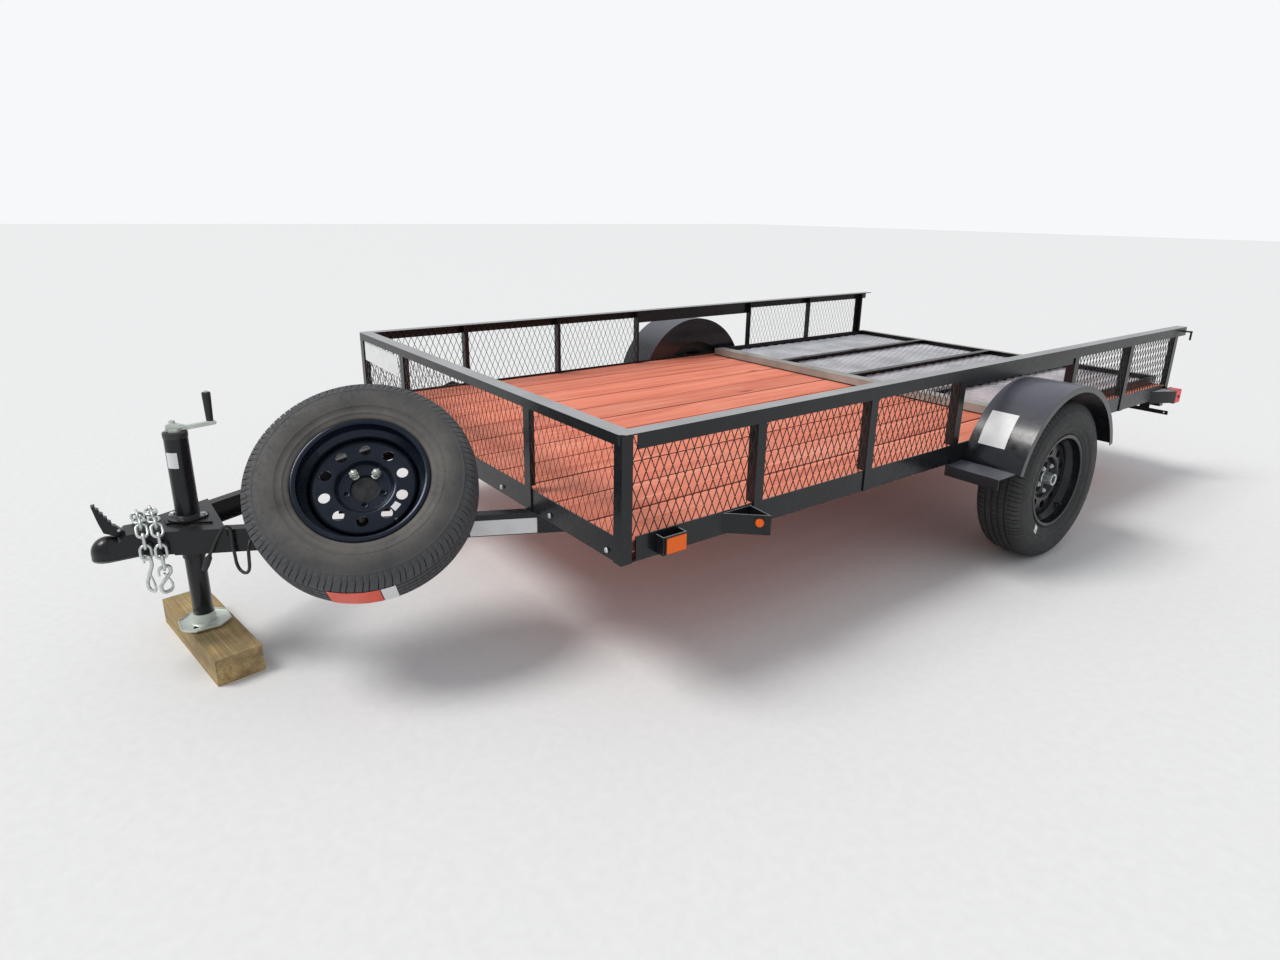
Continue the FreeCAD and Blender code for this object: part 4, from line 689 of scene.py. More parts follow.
def expanded_metal(shape, origin, along, up, normal, size, pitch, bar, tilt):
    # Staggered diamonds; each strand is a flat bar turned out of the sheet's plane, narrower where strands meet.
    columns = max(1, round(size[0] / pitch[0]))
    rows = max(1, round(size[1] / pitch[1]))
    du = size[0] / columns / 2
    dv = size[1] / rows / 2
    strand, thick = bar
    for i in range(2 * columns):
        for j in range(2 * rows):
            low, high = (j, j + 1) if (i + j) % 2 == 0 else (j + 1, j)
            p = origin + (along * (i * du) + up * (low * dv)) / 1000
            q = origin + (along * ((i + 1) * du) + up * (high * dv)) / 1000
            run = (q - p).normalized()
            flat = run.cross(normal).normalized()
            if flat.dot(along) < 0:
                flat = -flat
            wide = (flat * math.cos(tilt) + normal * math.sin(tilt)).normalized()
            deep = run.cross(wide).normalized()
            lap = run * strand * 0.0002
            knuckle = (q - p) * 0.16
            points = []
            for centre, w in ((p - lap, 0.75), (p + knuckle, 1.0), (q - knuckle, 1.0), (q + lap, 0.75)):
                for sw, sd in ((-1, -1), (1, -1), (1, 1), (-1, 1)):
                    points.append(centre + wide * sw * strand * w / 2000 + deep * sd * thick / 2000)
            shape.add(points, skin(4, 4))


# Each mesh: width and height of a diamond, width and thickness of its strands, and their turn in radians.
FENCE_MESH = ((33.0, 76.0), (3.0, 1.3), 0.65)
GATE_MESH = ((38.0, 84.0), (8.0, 2.0), -0.8)
FENCE_LOW = RAIL_TOP + 1
FENCE_RISE = FENCE_TOP - 5 - FENCE_LOW
OPEN_BAY = 3


def fence_mesh(side, name, node):
    # The bay over the wheel has no mesh.
    shape = Shape()
    half = POST_LEG / 2
    edges = (9.0, *SIDE_POSTS, FRAME_LENGTH - POST_THICK)
    for i, (before, after) in enumerate(zip(edges, edges[1:])):
        if i == OPEN_BAY:
            continue
        start = before if i == 0 else before - half + POST_THICK
        end = after if i == len(edges) - 2 else after - half
        expanded_metal(shape, place(side * (HALF_WIDTH - POST_THICK - 1.6), start, FENCE_LOW), BACK, UP, ACROSS * side,
                       (end - start, FENCE_RISE), *FENCE_MESH)
    shape.make(name, PAINT_MESH, node=node)


def front_mesh():
    shape = Shape()
    half = POST_LEG / 2
    edge = HALF_WIDTH - POST_THICK
    for x0, x1 in ((-edge, -FRONT_POST_X - half), (-FRONT_POST_X - half + POST_THICK, FRONT_POST_X - half),
                   (FRONT_POST_X - half + POST_THICK, edge)):
        expanded_metal(shape, place(x0, POST_THICK + 1.6, FENCE_LOW), ACROSS, UP, -BACK, (x1 - x0, FENCE_RISE),
                       *FENCE_MESH)
    shape.make("front_expanded_metal", PAINT_MESH, node="mesh_front")


GATE_HINGE_Y = FRAME_LENGTH + 30
GATE_LENGTH = 1545.0
GATE_HALF = 1000.0
GATE_BOTTOM = DECK_TOP + 5
GATE_BAYS = 4


def ramp_mesh():
    shape = Shape()
    free = GATE_HINGE_Y - GATE_LENGTH
    back = GATE_HINGE_Y - 20
    step = 2 * GATE_HALF / GATE_BAYS
    for i in range(GATE_BAYS):
        x0 = max(-GATE_HALF + step * i + 2, -GATE_HALF + 4)
        x1 = min(-GATE_HALF + step * (i + 1) - 2, GATE_HALF - 4)
        expanded_metal(shape, place(x0, free + 5, GATE_BOTTOM + 6.4), ACROSS, BACK, UP,
                       (x1 - x0, back - 5 - (free + 5)), *GATE_MESH)
    # The ramp mesh takes the light grey enamel that paints glare on its strands.
    shape.make("ramp_expanded_metal", MESH_PAINTED_GLARE, body="gate", node="gate_mesh")
    # Light grey faces on the bars at the gate's two ends.
    plates = [((1 - GATE_HALF, y0, GATE_BOTTOM + z0), (GATE_HALF - 1, y1, GATE_BOTTOM + z1)) for y0, y1, z0, z1 in (
        (free + 1, free + 75, 37.8, 38.5), (free - 0.5, free + 0.3, 2, 37.5), (back - 36, back - 1, 37.8, 38.5))]
    boxed("gate_free_edge", GATE_EDGE, *plates, body="gate")


fence_mesh(1, "left_expanded_metal", "mesh_left")
fence_mesh(-1, "right_expanded_metal", "mesh_right")
front_mesh()
ramp_mesh()


# Wheels

# Half section of a tyre, from the middle of its tread with two grooves out to the bead.
TYRE_HALF = [
    (344.0, 0.0), (344.0, 9.0), (337.0, 10.5), (337.0, 16.5), (343.9, 18.0), (343.6, 36.0), (336.6, 37.5),
    (336.6, 43.5), (343.1, 45.0), (342.0, 58.0), (340.2, 66.0), (337.0, 74.0), (332.0, 81.0), (325.0, 87.0),
    (316.0, 91.5),
    (306.5, 95.2), (305.2, 96.8), (302.8, 97.3), (301.4, 96.4), (292.0, 99.0), (280.0, 101.0), (268.0, 101.6),
    (256.0, 101.0), (247.0, 99.4), (245.8, 100.4), (243.6, 100.0), (242.4, 98.4), (233.0, 95.8), (225.0, 92.6),
    (223.6, 93.0), (221.6, 92.2), (220.4, 90.6), (214.5, 87.4), (211.0, 86.8), (207.0, 84.0), (204.0, 80.0),
    (203.0, 75.5), (196.0, 74.0), (190.8, 70.0)]
TREAD_CUTS = 102
CUT_WIDTH = 3.6
DISC = 8.0
STUDS = 5
STUD_CIRCLE = 57.15
RIM_BARREL = [
    (187.0, 83.0), (191.0, 85.0), (197.0, 85.6), (201.2, 84.4), (203.0, 81.4), (201.6, 78.6), (197.0, 77.2),
    (190.2, 75.0), (190.2, 52.0), (187.0, 46.0), (172.0, 34.0), (168.2, 26.0), (168.2, -30.0), (172.0, -37.0),
    (187.0, -47.0), (190.2, -52.0), (190.2, -75.0), (197.0, -77.2), (201.6, -78.6), (203.0, -81.4), (201.2, -84.4),
    (197.0, -85.6), (191.0, -85.0), (187.0, -83.0), (186.2, -76.0), (186.4, -54.0), (183.5, -49.5), (169.0, -39.0),
    (164.2, -31.0), (164.2, 28.0), (168.8, 36.5), (183.5, 48.5), (186.2, 54.0), (186.4, 76.0)]
RIM_DISC = lifted(
    DISC, (42.0, -1.0), (44.0, 2.2), (48.0, 2.8), (72.0, 3.0), (77.0, 4.0), (81.0, 8.5), (84.5, 17.0), (88.0, 22.6),
    (93.0, 25.4), (99.0, 26.0), (145.0, 25.4), (152.0, 24.2), (156.5, 21.0), (159.5, 14.0), (161.5, 4.0),
    (164.4, -8.0), (164.4, -17.0), (158.0, -12.0), (154.5, 0.0), (151.0, 13.0), (146.0, 18.4), (138.0, 19.8),
    (99.0, 20.4), (94.0, 19.4), (90.5, 15.0), (87.0, 5.0), (83.5, -1.0), (79.0, -3.4), (72.0, -4.0), (42.0, -4.0))
# Hand holes and stud holes: count, radius of their circle, radius, and the steps and profile of the pressed edge.
DISC_HOLES = (
    (10, 119.0, 17.5, 24, lifted(DISC + 25.6, (17.3, -5), (17.3, -1.2), (18.3, -0.1), (20.4, -0.35), (20.4, -1.4),
                                 (18.6, -1.6), (18.6, -5))),
    (STUDS, STUD_CIRCLE, 7.4, 20, lifted(DISC, (7.2, 1), (7.2, 3.4), (9.5, 4.6), (12.2, 4.4), (13.4, 3.1), (13.4, 1))))


def tyre(name, node, at, axis, material, body="root"):
    profile = [(r, -h) for r, h in reversed(TYRE_HALF)] + TYRE_HALF[1:]
    e1, e2, e3 = axes_of(axis)
    pitch = 2 * math.pi / TREAD_CUTS
    cut = CUT_WIDTH / TYRE_RADIUS
    columns = []
    for s in range(TREAD_CUTS):
        wobble = 0.12 * math.sin(s * 2.4) * pitch
        for offset, deep in ((0.0, False), (cut * 0.25, True), (cut * 0.75, True), (cut, False)):
            columns.append((s * pitch + wobble + offset, deep))
    points = []
    for angle, deep in columns:
        for r, h in profile:
            width = abs(h)
            if deep and 46 < width < 96 and r > 300:
                r -= 7.0 * min(1.0, (96 - width) / 14)
            elif deep and width < 36 and r > 340:
                r -= 2.2
            skew = (width - 66) / 30 * 0.35 * pitch if width > 46 and r > 300 else 0.0
            a = angle + (skew if h > 0 else -skew)
            points.append(at + ((e1 * math.cos(a) + e2 * math.sin(a)) * r + e3 * h) / 1000)
    mesh_piece(name, points, skin(len(columns), len(profile), closed=True), material, body=body, slot="tyre",
               smooth=38, node=node)


def boolean_cut(obj, cutter_shape, name):
    cutter = cutter_shape.make(name, WHEEL_PAINT)
    cut = obj.modifiers.new("holes", "BOOLEAN")
    cut.operation = "DIFFERENCE"
    cut.solver = "EXACT"
    cut.object = cutter
    bpy.context.view_layer.update()
    graph = bpy.context.evaluated_depsgraph_get()
    data = bpy.data.meshes.new_from_object(obj.evaluated_get(graph), depsgraph=graph)
    obj.modifiers.clear()
    old = obj.data
    obj.data = data
    bpy.data.meshes.remove(old)
    bpy.data.objects.remove(cutter)


def rim(name, node, at, axis, paint, body="root"):
    painted = {"body": body, "slot": "wheel_paint"}
    disc = turned(name + "_disc", paint, at, axis, (128, RIM_DISC), smooth=30, **painted)
    holes = Shape()
    edges = Shape()
    for count, circle, radius, steps, edge in DISC_HOLES:
        for i in range(count):
            spot = round_spot(at, axis, circle, 360.0 * i / count - 90.0)
            holes.revolve([(0, -40), (radius, -40), (radius, 60), (0, 60)], 24, spot, axis)
            edges.revolve(edge, steps, spot, axis)
    boolean_cut(disc, holes, name + "_cutter")
    shade_smooth(disc.data, 30)
    edges.make(name + "_pressed_rings", paint, smooth=40, **painted)
    lean = round_spot(Vector(), axis, -350, -52, 900)
    turned(name + "_valve", GRIP, round_spot(at, axis, 176, -52, 40), lean,
           (14, [(0, -8), (7.0, -8), (7.0, 0), (4.6, 6), (4.2, 22), (0, 22)]),
           (12, [(0, 20), (4.6, 20), (4.6, 29), (3.8, 31), (0, 31)]), body=body, slot="grip", smooth=40)
    turned(name, paint, at, axis, (128, RIM_BARREL), smooth=32, node=node, **painted)
    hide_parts(node)


def hub(name, node, at, axis, body):
    turned(name + "_flange", PAINT, at, axis,
           (48, lifted(DISC, (0, -66), (46, -66), (48, -62), (48, -24), (56, -19), (69, -17), (70, -15), (70, -6),
                       (68, -4.5), (42, -4.5), (41, 4), (37, 9), (34, 14), (30, 16), (27, 17))),
           body=body, slot="zinc", smooth=35, node=node)
    turned(name, ZINC, at, axis,
           (40, lifted(DISC, (0, 12), (28.4, 12), (28.8, 18), (27.0, 20), (26.2, 24), (26.0, 54), (24.8, 57),
                       (22.0, 57.8), (19.5, 57.0), (18.6, 54.0), (17.0, 52.4), (0, 52.0))),
           body=body, slot="zinc", smooth=35, node=node)
    turned(name + "_plug", GRIP, at, axis,
           (28, lifted(DISC, (0, 52), (16.4, 52), (16.6, 54.5), (14.0, 56.0), (6.0, 56.4), (5.0, 55.2), (0, 55.0))),
           body=body, slot="grip", smooth=35)
    nuts = Shape()
    for i in range(STUDS):
        spot = round_spot(at, axis, STUD_CIRCLE, -90 - 360 / STUDS * i)
        nuts.revolve(lifted(DISC, (0, 2), (8.0, 2), (11.8, 9), (11.8, 22), (10.4, 25.5), (6.6, 26.5), (0, 26.5)), 6,
                     spot, axis, start=i)
        nuts.revolve(lifted(DISC, (0, 24), (5.9, 24), (5.9, 29.5), (5.0, 30.5), (0, 30.5)), 14, spot, axis)
    nuts.make(name + "_nuts", ZINC, body=body, slot="zinc", smooth=30)


for side, tag in ((1, "left"), (-1, "right")):
    centre = place(side * WHEEL_X, AXLE_Y, TYRE_RADIUS)
    body = "wheel_" + tag
    tyre("road_tyre_" + tag, "tyre_" + tag, centre, ACROSS * side, RUBBER_DARK, body)
    rim("wheel_" + tag + "_rim", "rim_" + tag, centre, ACROSS * side, PAINT_SHINE, body)
    hub("hub_cap_" + tag, "hub_" + tag, centre, ACROSS * side, body)
tyre("spare_road_tyre", "spare_tyre", SPARE_AT, SPARE_AXIS, RUBBER_WALL)
rim("spare_wheel_rim", "spare_rim", SPARE_AT, SPARE_AXIS, WHEEL_PAINT)


def spare_spot(radius, degrees, height):
    return round_spot(SPARE_AT, SPARE_AXIS, radius, degrees, height)


def spare_nuts():
    nuts = Shape()
    for degrees in (54.0, 126.0):
        at = spare_spot(STUD_CIRCLE, degrees, DISC)
        for steps, profile in (
                (32, [(0, 0.2), (16.8, 0.2), (17.2, 1.0), (16.6, 2.4), (13.0, 3.0), (0, 3.0)]),
                (6, [(0, 2.6), (14.9, 2.6), (14.9, 15.0), (12.8, 16.6), (0, 16.6)]),
                (24, [(0, 15.0), (11.0, 15.0), (10.8, 18.0), (9.4, 21.4), (6.6, 23.8), (3.0, 24.8), (0, 25.0)])):
            nuts.revolve(profile, steps, at, SPARE_AXIS)
    nuts.make("spare_wheel_nuts", ZINC_PALE, slot="zinc", smooth=30)


spare_nuts()


# Safety chains

LINK_LENGTH = 53.0
LINK_WIDTH = 37.0
LINK_BAR = 8.0
LINK_GAP = 0.3
LINKS_OVER = 6
# Each chain: place along the trailer, links that hang on the left, drop and turn of its hook.
CHAINS = ((-1058.0, 2, 113.0, 30.0), (-1020.0, 3, 82.0, 110.0))


def joints_along(path, lengths):
    joints = [path[0]]
    k = 0
    for length in lengths:
        t = 2
        while t > 1:
            run = path[k + 1] - path[k]
            off = path[k] - joints[-1]
            b = off.dot(run)
            t = (-b + math.sqrt(b ** 2 - run.dot(run) * (off.dot(off) - length ** 2))) / run.dot(run)
            if t > 1:
                k += 1
        joints.append(path[k] + run * t)
    return joints


def chain_joints(down, over, hanging):
    reach = LINK_LENGTH - 2 * LINK_BAR
    gaps = [LINK_GAP / 2] * (hanging + LINKS_OVER + 2)
    for _ in range(12):
        lengths = [reach - a - b for a, b in zip(gaps, gaps[1:])]
        near = joints_along(down, lengths[hanging::-1])
        joints = near[::-1] + joints_along(over, lengths[hanging + 1:])[1:]
        for i in range(1, len(joints) - 1):
            turn = (joints[i] - joints[i - 1]).angle(joints[i + 1] - joints[i])
            gaps[i] = LINK_GAP / 2 + LINK_BAR / 2 * math.tan(turn / 2)
    return joints, gaps


def chain_link(shape, start, end, gap, flat):
    along = (end - start).normalized()
    across = BACK if flat else BACK.cross(along)
    centre = start + along * (LINK_LENGTH / 2 - LINK_BAR - gap)
    straight = (LINK_LENGTH - LINK_WIDTH) / 2
    radius = (LINK_WIDTH - LINK_BAR) / 2
    path = []
    for i in range(28):
        a = 2 * math.pi * (i + 0.5) / 28
        c = math.cos(a)
        s = math.sin(a)
        path.append(place(*(centre + along * (radius * c + math.copysign(straight, c)) + across * radius * s)))
    shape.tube(path, LINK_BAR / 2 + 0.4, sides=12, closed=True)
    weld = place(*(centre + across * radius))
    shape.revolve([(0, -3.5), (3.4, -3.5), (4.7, -1.5), (4.8, 1.5), (3.4, 3.5), (0, 3.5)], 12, weld, along)


def safety_chains():
    links = Shape()
    hooks = Shape()
    z = COUPLER_TOP
    for y, hanging, drop, degrees in CHAINS:
        w = tongue_edge(y) + 5
        over, down = ([Vector((x, y, h)) for x, h in route] for route in (
            [(w - 6, z + 20.5), (14 - w, z + 22), (-w, z + 27), (-w - 19, z + 19), (-w - 27, z), (-w - 27, z - 200)],
            [(w - 6, z + 20.5), (w + 23.5, z - 4), (w + 27, z - 40), (w + 27, z - 300)]))
        joints, gaps = chain_joints(down, over, hanging)
        for i, (start, end) in enumerate(zip(joints, joints[1:])):
            chain_link(links, start, end, gaps[i], (i - hanging) % 2 == 0)
        high = LINK_BAR / 2 + LINK_GAP / 2
        low = LINK_BAR / 2 - drop
        a = math.radians(degrees)
        level = Vector((math.cos(a), math.sin(a), 0))
        bends, latch = ([place(*(joints[0] + level * u + UP * v)) for u, v in route] for route in (
            [(-17, -20), (-17, high - 7), (-11, high), (11, high), (17, high - 7), (17, -20), (-17, low + 26),
             (-17, low + 9), (-9, low), (9, low), (17, low + 9), (17, low + 24)],
            [(16.0, low + 21.0), (13.0, low + 34.0), (5.0, low + 50.0), (-2.0, low + 62.0)]))
        path = rounded(bends, 9.0, 6)
        count = len(path)
        # The hook's bar grows thinner towards both ends.
        hooks.tube(path, [3.2 + 2.3 * min(1.0, 7.0 * min(i, count - 1 - i) / count) for i in range(count)], sides=12)
        hooks.tube(latch, [3.6, 3.0, 2.8, 3.4])
        hex_bolt(hooks, place(*(joints[-1] + Vector((-LINK_BAR / 2 - 3.2, 0, 5.3)))), -ACROSS, 13.0, 8.0)
    links.make("safety_chain_links", ZINC, slot="zinc", smooth=40, node="safety_chains")
    hooks.make("safety_chain_hooks", ZINC, slot="zinc", smooth=40, node="safety_chains")


safety_chains()


# Coupler trim and jack

def coupler_trim():
    # The turned lip along the pressing's lower edge. Its enamel carries the painted sheen, so it paints a light line
    # along the nose as a painted highlight.
    outer = [(51.5, -1070.0)]
    inner = [(46.5, -1070.0)]
    for i in range(25):
        a = math.pi * i / 24
        outer.append((50.5 * math.cos(a), BALL_Y - 46.3 * math.sin(a)))
        inner.append((45.0 * math.cos(a), BALL_Y - 45.0 * math.sin(a)))
    loop = outer + [(-51.5, -1070.0), (-46.5, -1070.0)] + inner[::-1]
    n = len(loop)
    faces = skin(2, n)
    for i in range(n // 2 - 1):
        faces += [(i, i + 1, n - 2 - i, n - 1 - i), (n + i, n + i + 1, 2 * n - 2 - i, 2 * n - 1 - i)]
    mesh_piece("coupler_lip", [place(x, y, z) for z in (384.2, 387.4) for x, y in loop], faces, PAINT_DUST_AND_SHEEN, smooth=35,
               bevel=0.8)
    turned("latch_pin", ZINC, place(0, BALL_Y + 34, 468), ACROSS, (16, [(0, -16), (4.2, -16), (4.2, 16), (0, 16)]),
           slot="zinc", smooth=40)


def jack_parts():
    top = place(0, JACK_Y, JACK_TUBE_TOP)
    turned("jack_top_cap", LAMP_BODY, top, UP,
           (64, [(33.0, -17), (34.6, -17), (35.4, -15.5), (35.4, -1.6), (34.4, 0.6), (31.0, 1.4), (20.5, 1.4),
                 (20.5, -2)]), smooth=40)
    bolts = Shape()
    for degrees in (54.0, 174.0, 234.0):
        hex_bolt(bolts, round_spot(JACK, UP, 47.0, degrees, 471.0), UP, 11.2, 8.8)
    bolts.make("jack_plate_bolts", ZINC, slot="zinc", smooth=30)
    turned("jack_flange_weld", PAINT, JACK, UP,
           (72, [(33.9, 470.9), (40.5, 471.0), (38.6, 473.4), (36.0, 476.0), (33.9, 478.2)]), smooth=50)
    handle = place(0, JACK_Y + 100, JACK_TUBE_TOP + 20.5)
    ridges = []
    for i in range(28):
        h = 3 + 84 * i / 27
        ridges.append((10.0 + 2.9 * h / 92 + (0.45 if i % 2 else -0.25), h))
    turned("jack_crank_grip", GRIP, handle, UP,
           (32, [(0, 0), (9.4, 0), (10.2, 1.2), *ridges, (12.6, 89.5), (11.0, 91.6), (5.4, 92.0), (0, 92.0)]),
           slot="grip", smooth=40, node="jack_grip")
    pins = Shape()
    pins.revolve([(0, 91), (5.2, 91), (5.0, 94.5), (3.6, 96.4), (0, 97.0)], 20, handle, UP)
    pins.revolve([(0, -3), (8.4, -3), (8.8, -1.6), (8.4, 0.1), (0, 0.1)], 20, handle, UP)
    pins.revolve([(0, 26), (9, 26), (9, 34), (7.6, 36.0), (0, 36.4)], 24, place(0, JACK_Y - 4, JACK_TUBE_TOP), UP)
    pins.make("jack_crank_pin", ZINC, slot="zinc", smooth=40)


# The dished foot's section: inset from its edge and height over the block.
FOOT_SECTION = ((16.0, 0.1), (5.0, 3.4), (1.2, 8.0), (0.0, 11.0), (0.6, 12.0), (2.2, 12.2), (3.6, 11.2), (5.0, 8.2),
                (9.0, 6.2), (18.0, 5.2), (36.0, 5.0))


def jack_foot():
    sliding = {"body": "jack_leg", "node": "jack_leg"}
    turned("jack_inner_tube", PAINT_SHINE, JACK, UP,
           (72, [(0, 108), (29.4, 108), (30.0, 108.8), (30.0, 448.5), (29.0, 450.0), (0, 450.0)]), smooth=40, **sliding)
    points = []
    for inset, rise in FOOT_SECTION:
        half = 75.0 - inset
        near = half - 40.0 + inset * math.sqrt(2)
        points += [place(x, JACK_Y + y, BLOCK_HEIGHT + rise) for x, y in (
            (near, half), (-near, half), (-half, near), (-half, -near),
            (-near, -half), (near, -half), (half, -near), (half, near))]
    faces = skin(len(FOOT_SECTION), 8) + [list(range(8)), list(range(len(points) - 8, len(points)))]
    mesh_piece("jack_foot_dish", points, faces, ZINC_PALE, slot="zinc", smooth=50, bevel=1.6, **sliding)
    turned("jack_foot_collar", ZINC_PALE, place(0, JACK_Y, BLOCK_HEIGHT), UP,
           (64, [(0, 4.5), (40.0, 4.8), (37.4, 6.6), (34.6, 9.4), (33.2, 13.0), (33.0, 39.0), (32.0, 40.4), (0, 40.4)]),
           slot="zinc", smooth=40, **sliding)


coupler_trim()
jack_parts()
jack_foot()


# Springs

LEAF_HALF = 22.5
EYES_APART = 330.0


def leaf_pack(side, name):
    x = side * (RAIL_X - 62.0)
    leaves = Shape()
    steps = 28
    for k, length in enumerate((2 * EYES_APART, 520.0, 370.0, 230.0)):
        points = []
        for i in range(steps + 1):
            s = -length / 2 + length * i / steps
            z = 395.0 - 5.25 * k + 20.0 * (s / EYES_APART) ** 2
            # The lower leaves' ends grow narrower over their last 12 mm.
            past = 0.0 if k == 0 else max(0.0, abs(s) - length / 2 + 12)
            half = LEAF_HALF - 8 * past / 12
            points += [place(x + a, AXLE_Y + s, z + b)
                       for a, b in ((-half, 0), (half, 0), (half, -4.9), (-half, -4.9))]
        leaves.add(points, skin(steps + 1, 4) + [(0, 1, 2, 3), tuple(4 * steps + m for m in range(4))])
    for end in (-EYES_APART, EYES_APART):
        leaves.revolve([(8.2, 0), (13, 0), (13, 45), (8.2, 45)], 24, place(x - LEAF_HALF, AXLE_Y + end, 412.0), ACROSS)
    leaves.make(name + "_leaves", PAINT, smooth=35, bevel=0.5, node="leaf_springs")
    clamps = Shape()
    for y in (AXLE_Y - 34.0, AXLE_Y + 34.0):
        for leg in (x - 28.0, x + 28.0):
            clamps.tube(rounded([place(leg, y, 300.0), place(leg, y, 401.5), place(x, y, 401.5)], 7.0), 5.0)
            clamps.revolve([(0, 0), (9, 0), (9, 7.4), (8, 8.4), (0, 8.4)], 6, place(leg, y, 299.5), UP)
    clamps.make(name + "_clamps", ZINC, slot="zinc", smooth=35)
    boxed(name + "_axle_plate", PAINT, ((x - 38.0, AXLE_Y - 48.0, 308.0), (x + 38.0, AXLE_Y + 48.0, 314.2)),
          ((x - 24.0, AXLE_Y - 46.0, 395.2), (x + 24.0, AXLE_Y + 46.0, 397.6)), bevel=1.2)


leaf_pack(1, "left_spring")
leaf_pack(-1, "right_spring")


# Lamps

def lamps(side, tag):
    x = side * (RAIL_X + 36.0)
    boxed("reflector_" + tag, AMBER, ((x, 137, 469), (x + side * 8.0, 209, 518)), slot="amber", bevel=2.0, segments=3,
          node="front_reflectors")
    boxed("reflector_seat_" + tag, LAMP_BODY, ((x + side * 0.2, 134.5, 466.5), (x + side * 4.0, 211.5, 520.2)),
          bevel=1.0)
    # The marker lamp sits on the outer face of its three cornered bracket, at the first post.
    at = place(*(Vector((side * RAIL_X, 388.0, 503.0)) + Vector((side * 103.0, 110.0, 0)) * 0.767))
    outward = Vector((side * 110.0, -103.0, 0))
    turned("marker_lens_" + tag, AMBER, at, outward,
           (40, [(0, 0), (13.3, 0), (13.4, 7.0), (12.4, 11.0), (9.6, 13.4), (5.0, 14.0), (0, 14.0)]),
           slot="amber", smooth=40, node="marker_lamps")
    turned("marker_grommet_" + tag, GRIP, at, outward,
           (40, [(12.8, 0), (17.0, 0), (17.4, 1.6), (16.4, 4.0), (14.4, 5.0), (13.0, 4.4)]), slot="grip", smooth=40)
    boxed("tail_lens_" + tag, RED, ((side * 1080.0, 3706.0, 433.0), (side * 1133.0, 3781.0, 509.0)), slot="red",
          bevel=7.0, segments=4, node="tail_lamps")
    boxed("tail_lamp_base_" + tag, LAMP_BODY, ((side * 1075.2, 3700.2, 434.5), (side * 1132.0, 3708.0, 507.5)),
          ((side * 1075.2, 3700.2, 432.5), (side * 1082.0, 3779.0, 509.5)), bevel=1.5)
    turned("tail_lamp_mark_" + tag, LAMP_BODY, place(side * 1133.0, 3748.0, 470.0), ACROSS * side,
           (20, [(0, -0.5), (9.0, -0.5), (9.0, 2.0), (7.0, 3.4), (0, 3.8)]), smooth=40)
    # The lamp box takes the enamel whose upward faces carry a painted sheen, which paints its top plate grey.
    outline = ((HALF_WIDTH - 5, 3556.0), (1136.0, 3694.0), (1136.0, 3700.0), (HALF_WIDTH - 5, 3700.0))
    mesh_piece("tail_lamp_box_" + tag, [place(side * a, b, z) for z in (441.0, 507.0) for a, b in outline],
               [(3, 2, 1, 0), (4, 5, 6, 7)] + skin(2, 4), PAINT_DUST_AND_SHEEN, bevel=1.4)


lamps(1, "left")
lamps(-1, "right")


# Bolts and blank labels

LABEL_THICK = 0.25


def rail_bolts():
    heads = Shape()
    for x in (352, 678, 995):
        for side in (-1, 1):
            round_bolt(heads, place(side * x, 0, 479), -BACK, 8.5, 4.5)
    heads.make("rail_bolts", ZINC, slot="zinc", smooth=40)


def patch(name, material, point_at, across, down, body="root"):
    # A sticker of across x down cells on any surface; point_at(u, v, lift) gives its points for u and v from 0 to 1.
    w = across + 1
    n = w * (down + 1)
    points = [point_at(i / across, j / down, lift)
              for lift in (LABEL_THICK, -LABEL_THICK) for j in range(down + 1) for i in range(w)]
    faces = skin(down + 1, w, around=False)
    faces += [tuple(n + k for k in face[::-1]) for face in faces]
    edge = list(range(w)) + [j * w + across for j in range(1, down + 1)]
    edge += [down * w + i for i in range(across - 1, -1, -1)] + [j * w for j in range(down - 1, 0, -1)]
    faces += [(a, b, n + b, n + a) for a, b in zip(edge, edge[1:] + edge[:1])]
    mesh_piece(name, points, faces, material, body=body, smooth=30)


def fender_point(u, v, lift):
    a = math.radians(48.5 - 21.5 * v)
    r = 412.0 + 0.4 + lift
    return place(1094 + 8 * v + 112 * u, AXLE_Y - r * math.cos(a), TYRE_RADIUS + r * math.sin(a))


def tube_point(u, v, lift):
    a = math.radians(-72 + 60 * u)
    r = 34.0 + 0.4 + lift
    return place(r * math.cos(a), JACK_Y + r * math.sin(a), 686 - 50 * v)


def web_point(u, v, lift):
    y = -183 + 197 * u
    return place(tongue_edge(y), y, 434 - 53 * v) + LEAD_OUT * (0.4 + lift) / 1000


def fence_point(u, v, lift):
    return place(-1012 + 420 * u, 2.6 - lift, 806 - 92 * v - 10 * u)


def disc_point(u, v, lift):
    return spare_spot(111 + 24 * u, -44 + 12 * v, DISC + 26.0 + lift - 0.8 * u)


def tread_point(start, end):
    return lambda u, v, lift: spare_spot(344.6 + lift, start + (end - start) * u, 52 - 104 * v)


def wall_point(u, v, lift):
    a = math.radians(-136 + 7 * u)
    r = 221 + 32 * v
    swell = 92 + 9.2 * math.sin((r - 214) / 54 * math.pi / 2)
    return place(WHEEL_X + swell + 0.6 + lift, AXLE_Y + r * math.cos(a), TYRE_RADIUS + r * math.sin(a))


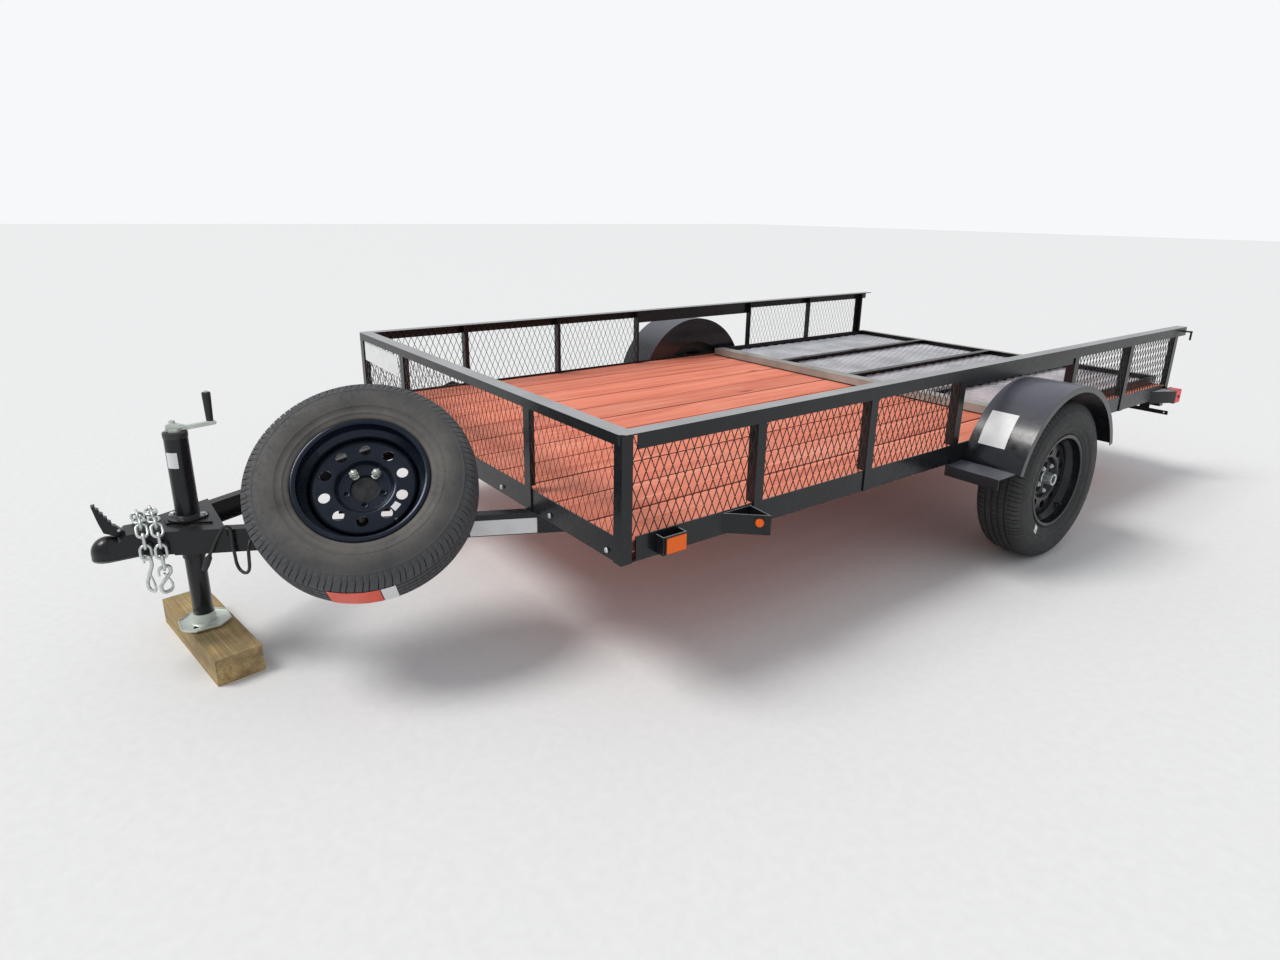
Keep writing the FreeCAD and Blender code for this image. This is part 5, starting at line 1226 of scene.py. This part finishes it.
rail_bolts()
patch("fender_label", WHITE_LABEL, fender_point, 1, 12)
patch("jack_label", WHITE_LABEL, tube_point, 10, 1)
patch("tongue_label", WHITE_LABEL, web_point, 1, 1)
patch("fence_label", WHITE_LABEL, fence_point, 1, 1)
patch("rim_label", WHITE_LABEL, disc_point, 4, 3)
patch("tyre_mark", WHITE_LABEL, wall_point, 2, 3, body="wheel_left")
patch("tread_label_red", RED_LABEL, tread_point(-105, -80.5), 12, 1)
patch("tread_label_white", WHITE_LABEL, tread_point(-80, -73), 4, 1)


# Floor, light and background

def studio():
    world = bpy.data.worlds.new("studio")
    bpy.context.scene.world = world
    world.use_nodes = True
    tree = world.node_tree
    lit = tree.nodes["Background"]
    feed(tree, lit.inputs["Color"], (0.95, 0.97, 1.0))
    feed(tree, lit.inputs["Strength"], 0.62)
    seen = add(tree, "ShaderNodeBackground", {"Color": (0.93, 0.94, 0.955), "Strength": 1.0})
    path = add(tree, "ShaderNodeLightPath").outputs
    direct = add(tree, "ShaderNodeMath", {0: path["Is Camera Ray"], 1: path["Is Transmission Ray"]},
                 operation="MAXIMUM")
    blend = add(tree, "ShaderNodeMixShader", {0: direct.outputs[0], 1: lit.outputs[0], 2: seen.outputs[0]})
    tree.links.new(blend.outputs[0], tree.nodes["World Output"].inputs[0])
    look = Look("studio_floor")
    shader = look.tree.nodes["Principled BSDF"].inputs
    grain = look.spread(look.noise(look.at, 30.0, 5.0, 0.6), 0.3, 0.7)
    feed(look.tree, shader["Base Color"], look.mixed(grain, (0.75, 0.755, 0.76), (0.79, 0.795, 0.8)))
    feed(look.tree, shader["Roughness"], 0.9)
    data = bpy.data.meshes.new("studio_floor")
    reach = 60.0
    corners = [(-reach, -reach, 0), (reach, -reach, 0), (reach, reach, 0), (-reach, reach, 0)]
    data.from_pydata(corners, [], [(0, 1, 2, 3)])
    floor = bpy.data.objects.new("studio_floor", data)
    bpy.context.collection.objects.link(floor)
    data.materials.append(look.material)
    sun = bpy.data.lights.new("key", "SUN")
    sun.energy = 1.9
    sun.angle = math.radians(24)
    sun.color = (1.0, 0.975, 0.94)
    lamp = bpy.data.objects.new("key", sun)
    bpy.context.collection.objects.link(lamp)
    toward = Vector((-0.3, -0.55, 0.95)).normalized()
    lamp.rotation_mode = "QUATERNION"
    lamp.rotation_quaternion = toward.to_track_quat("Z", "Y")


studio()
bpy.context.scene.view_settings.view_transform = "Standard"
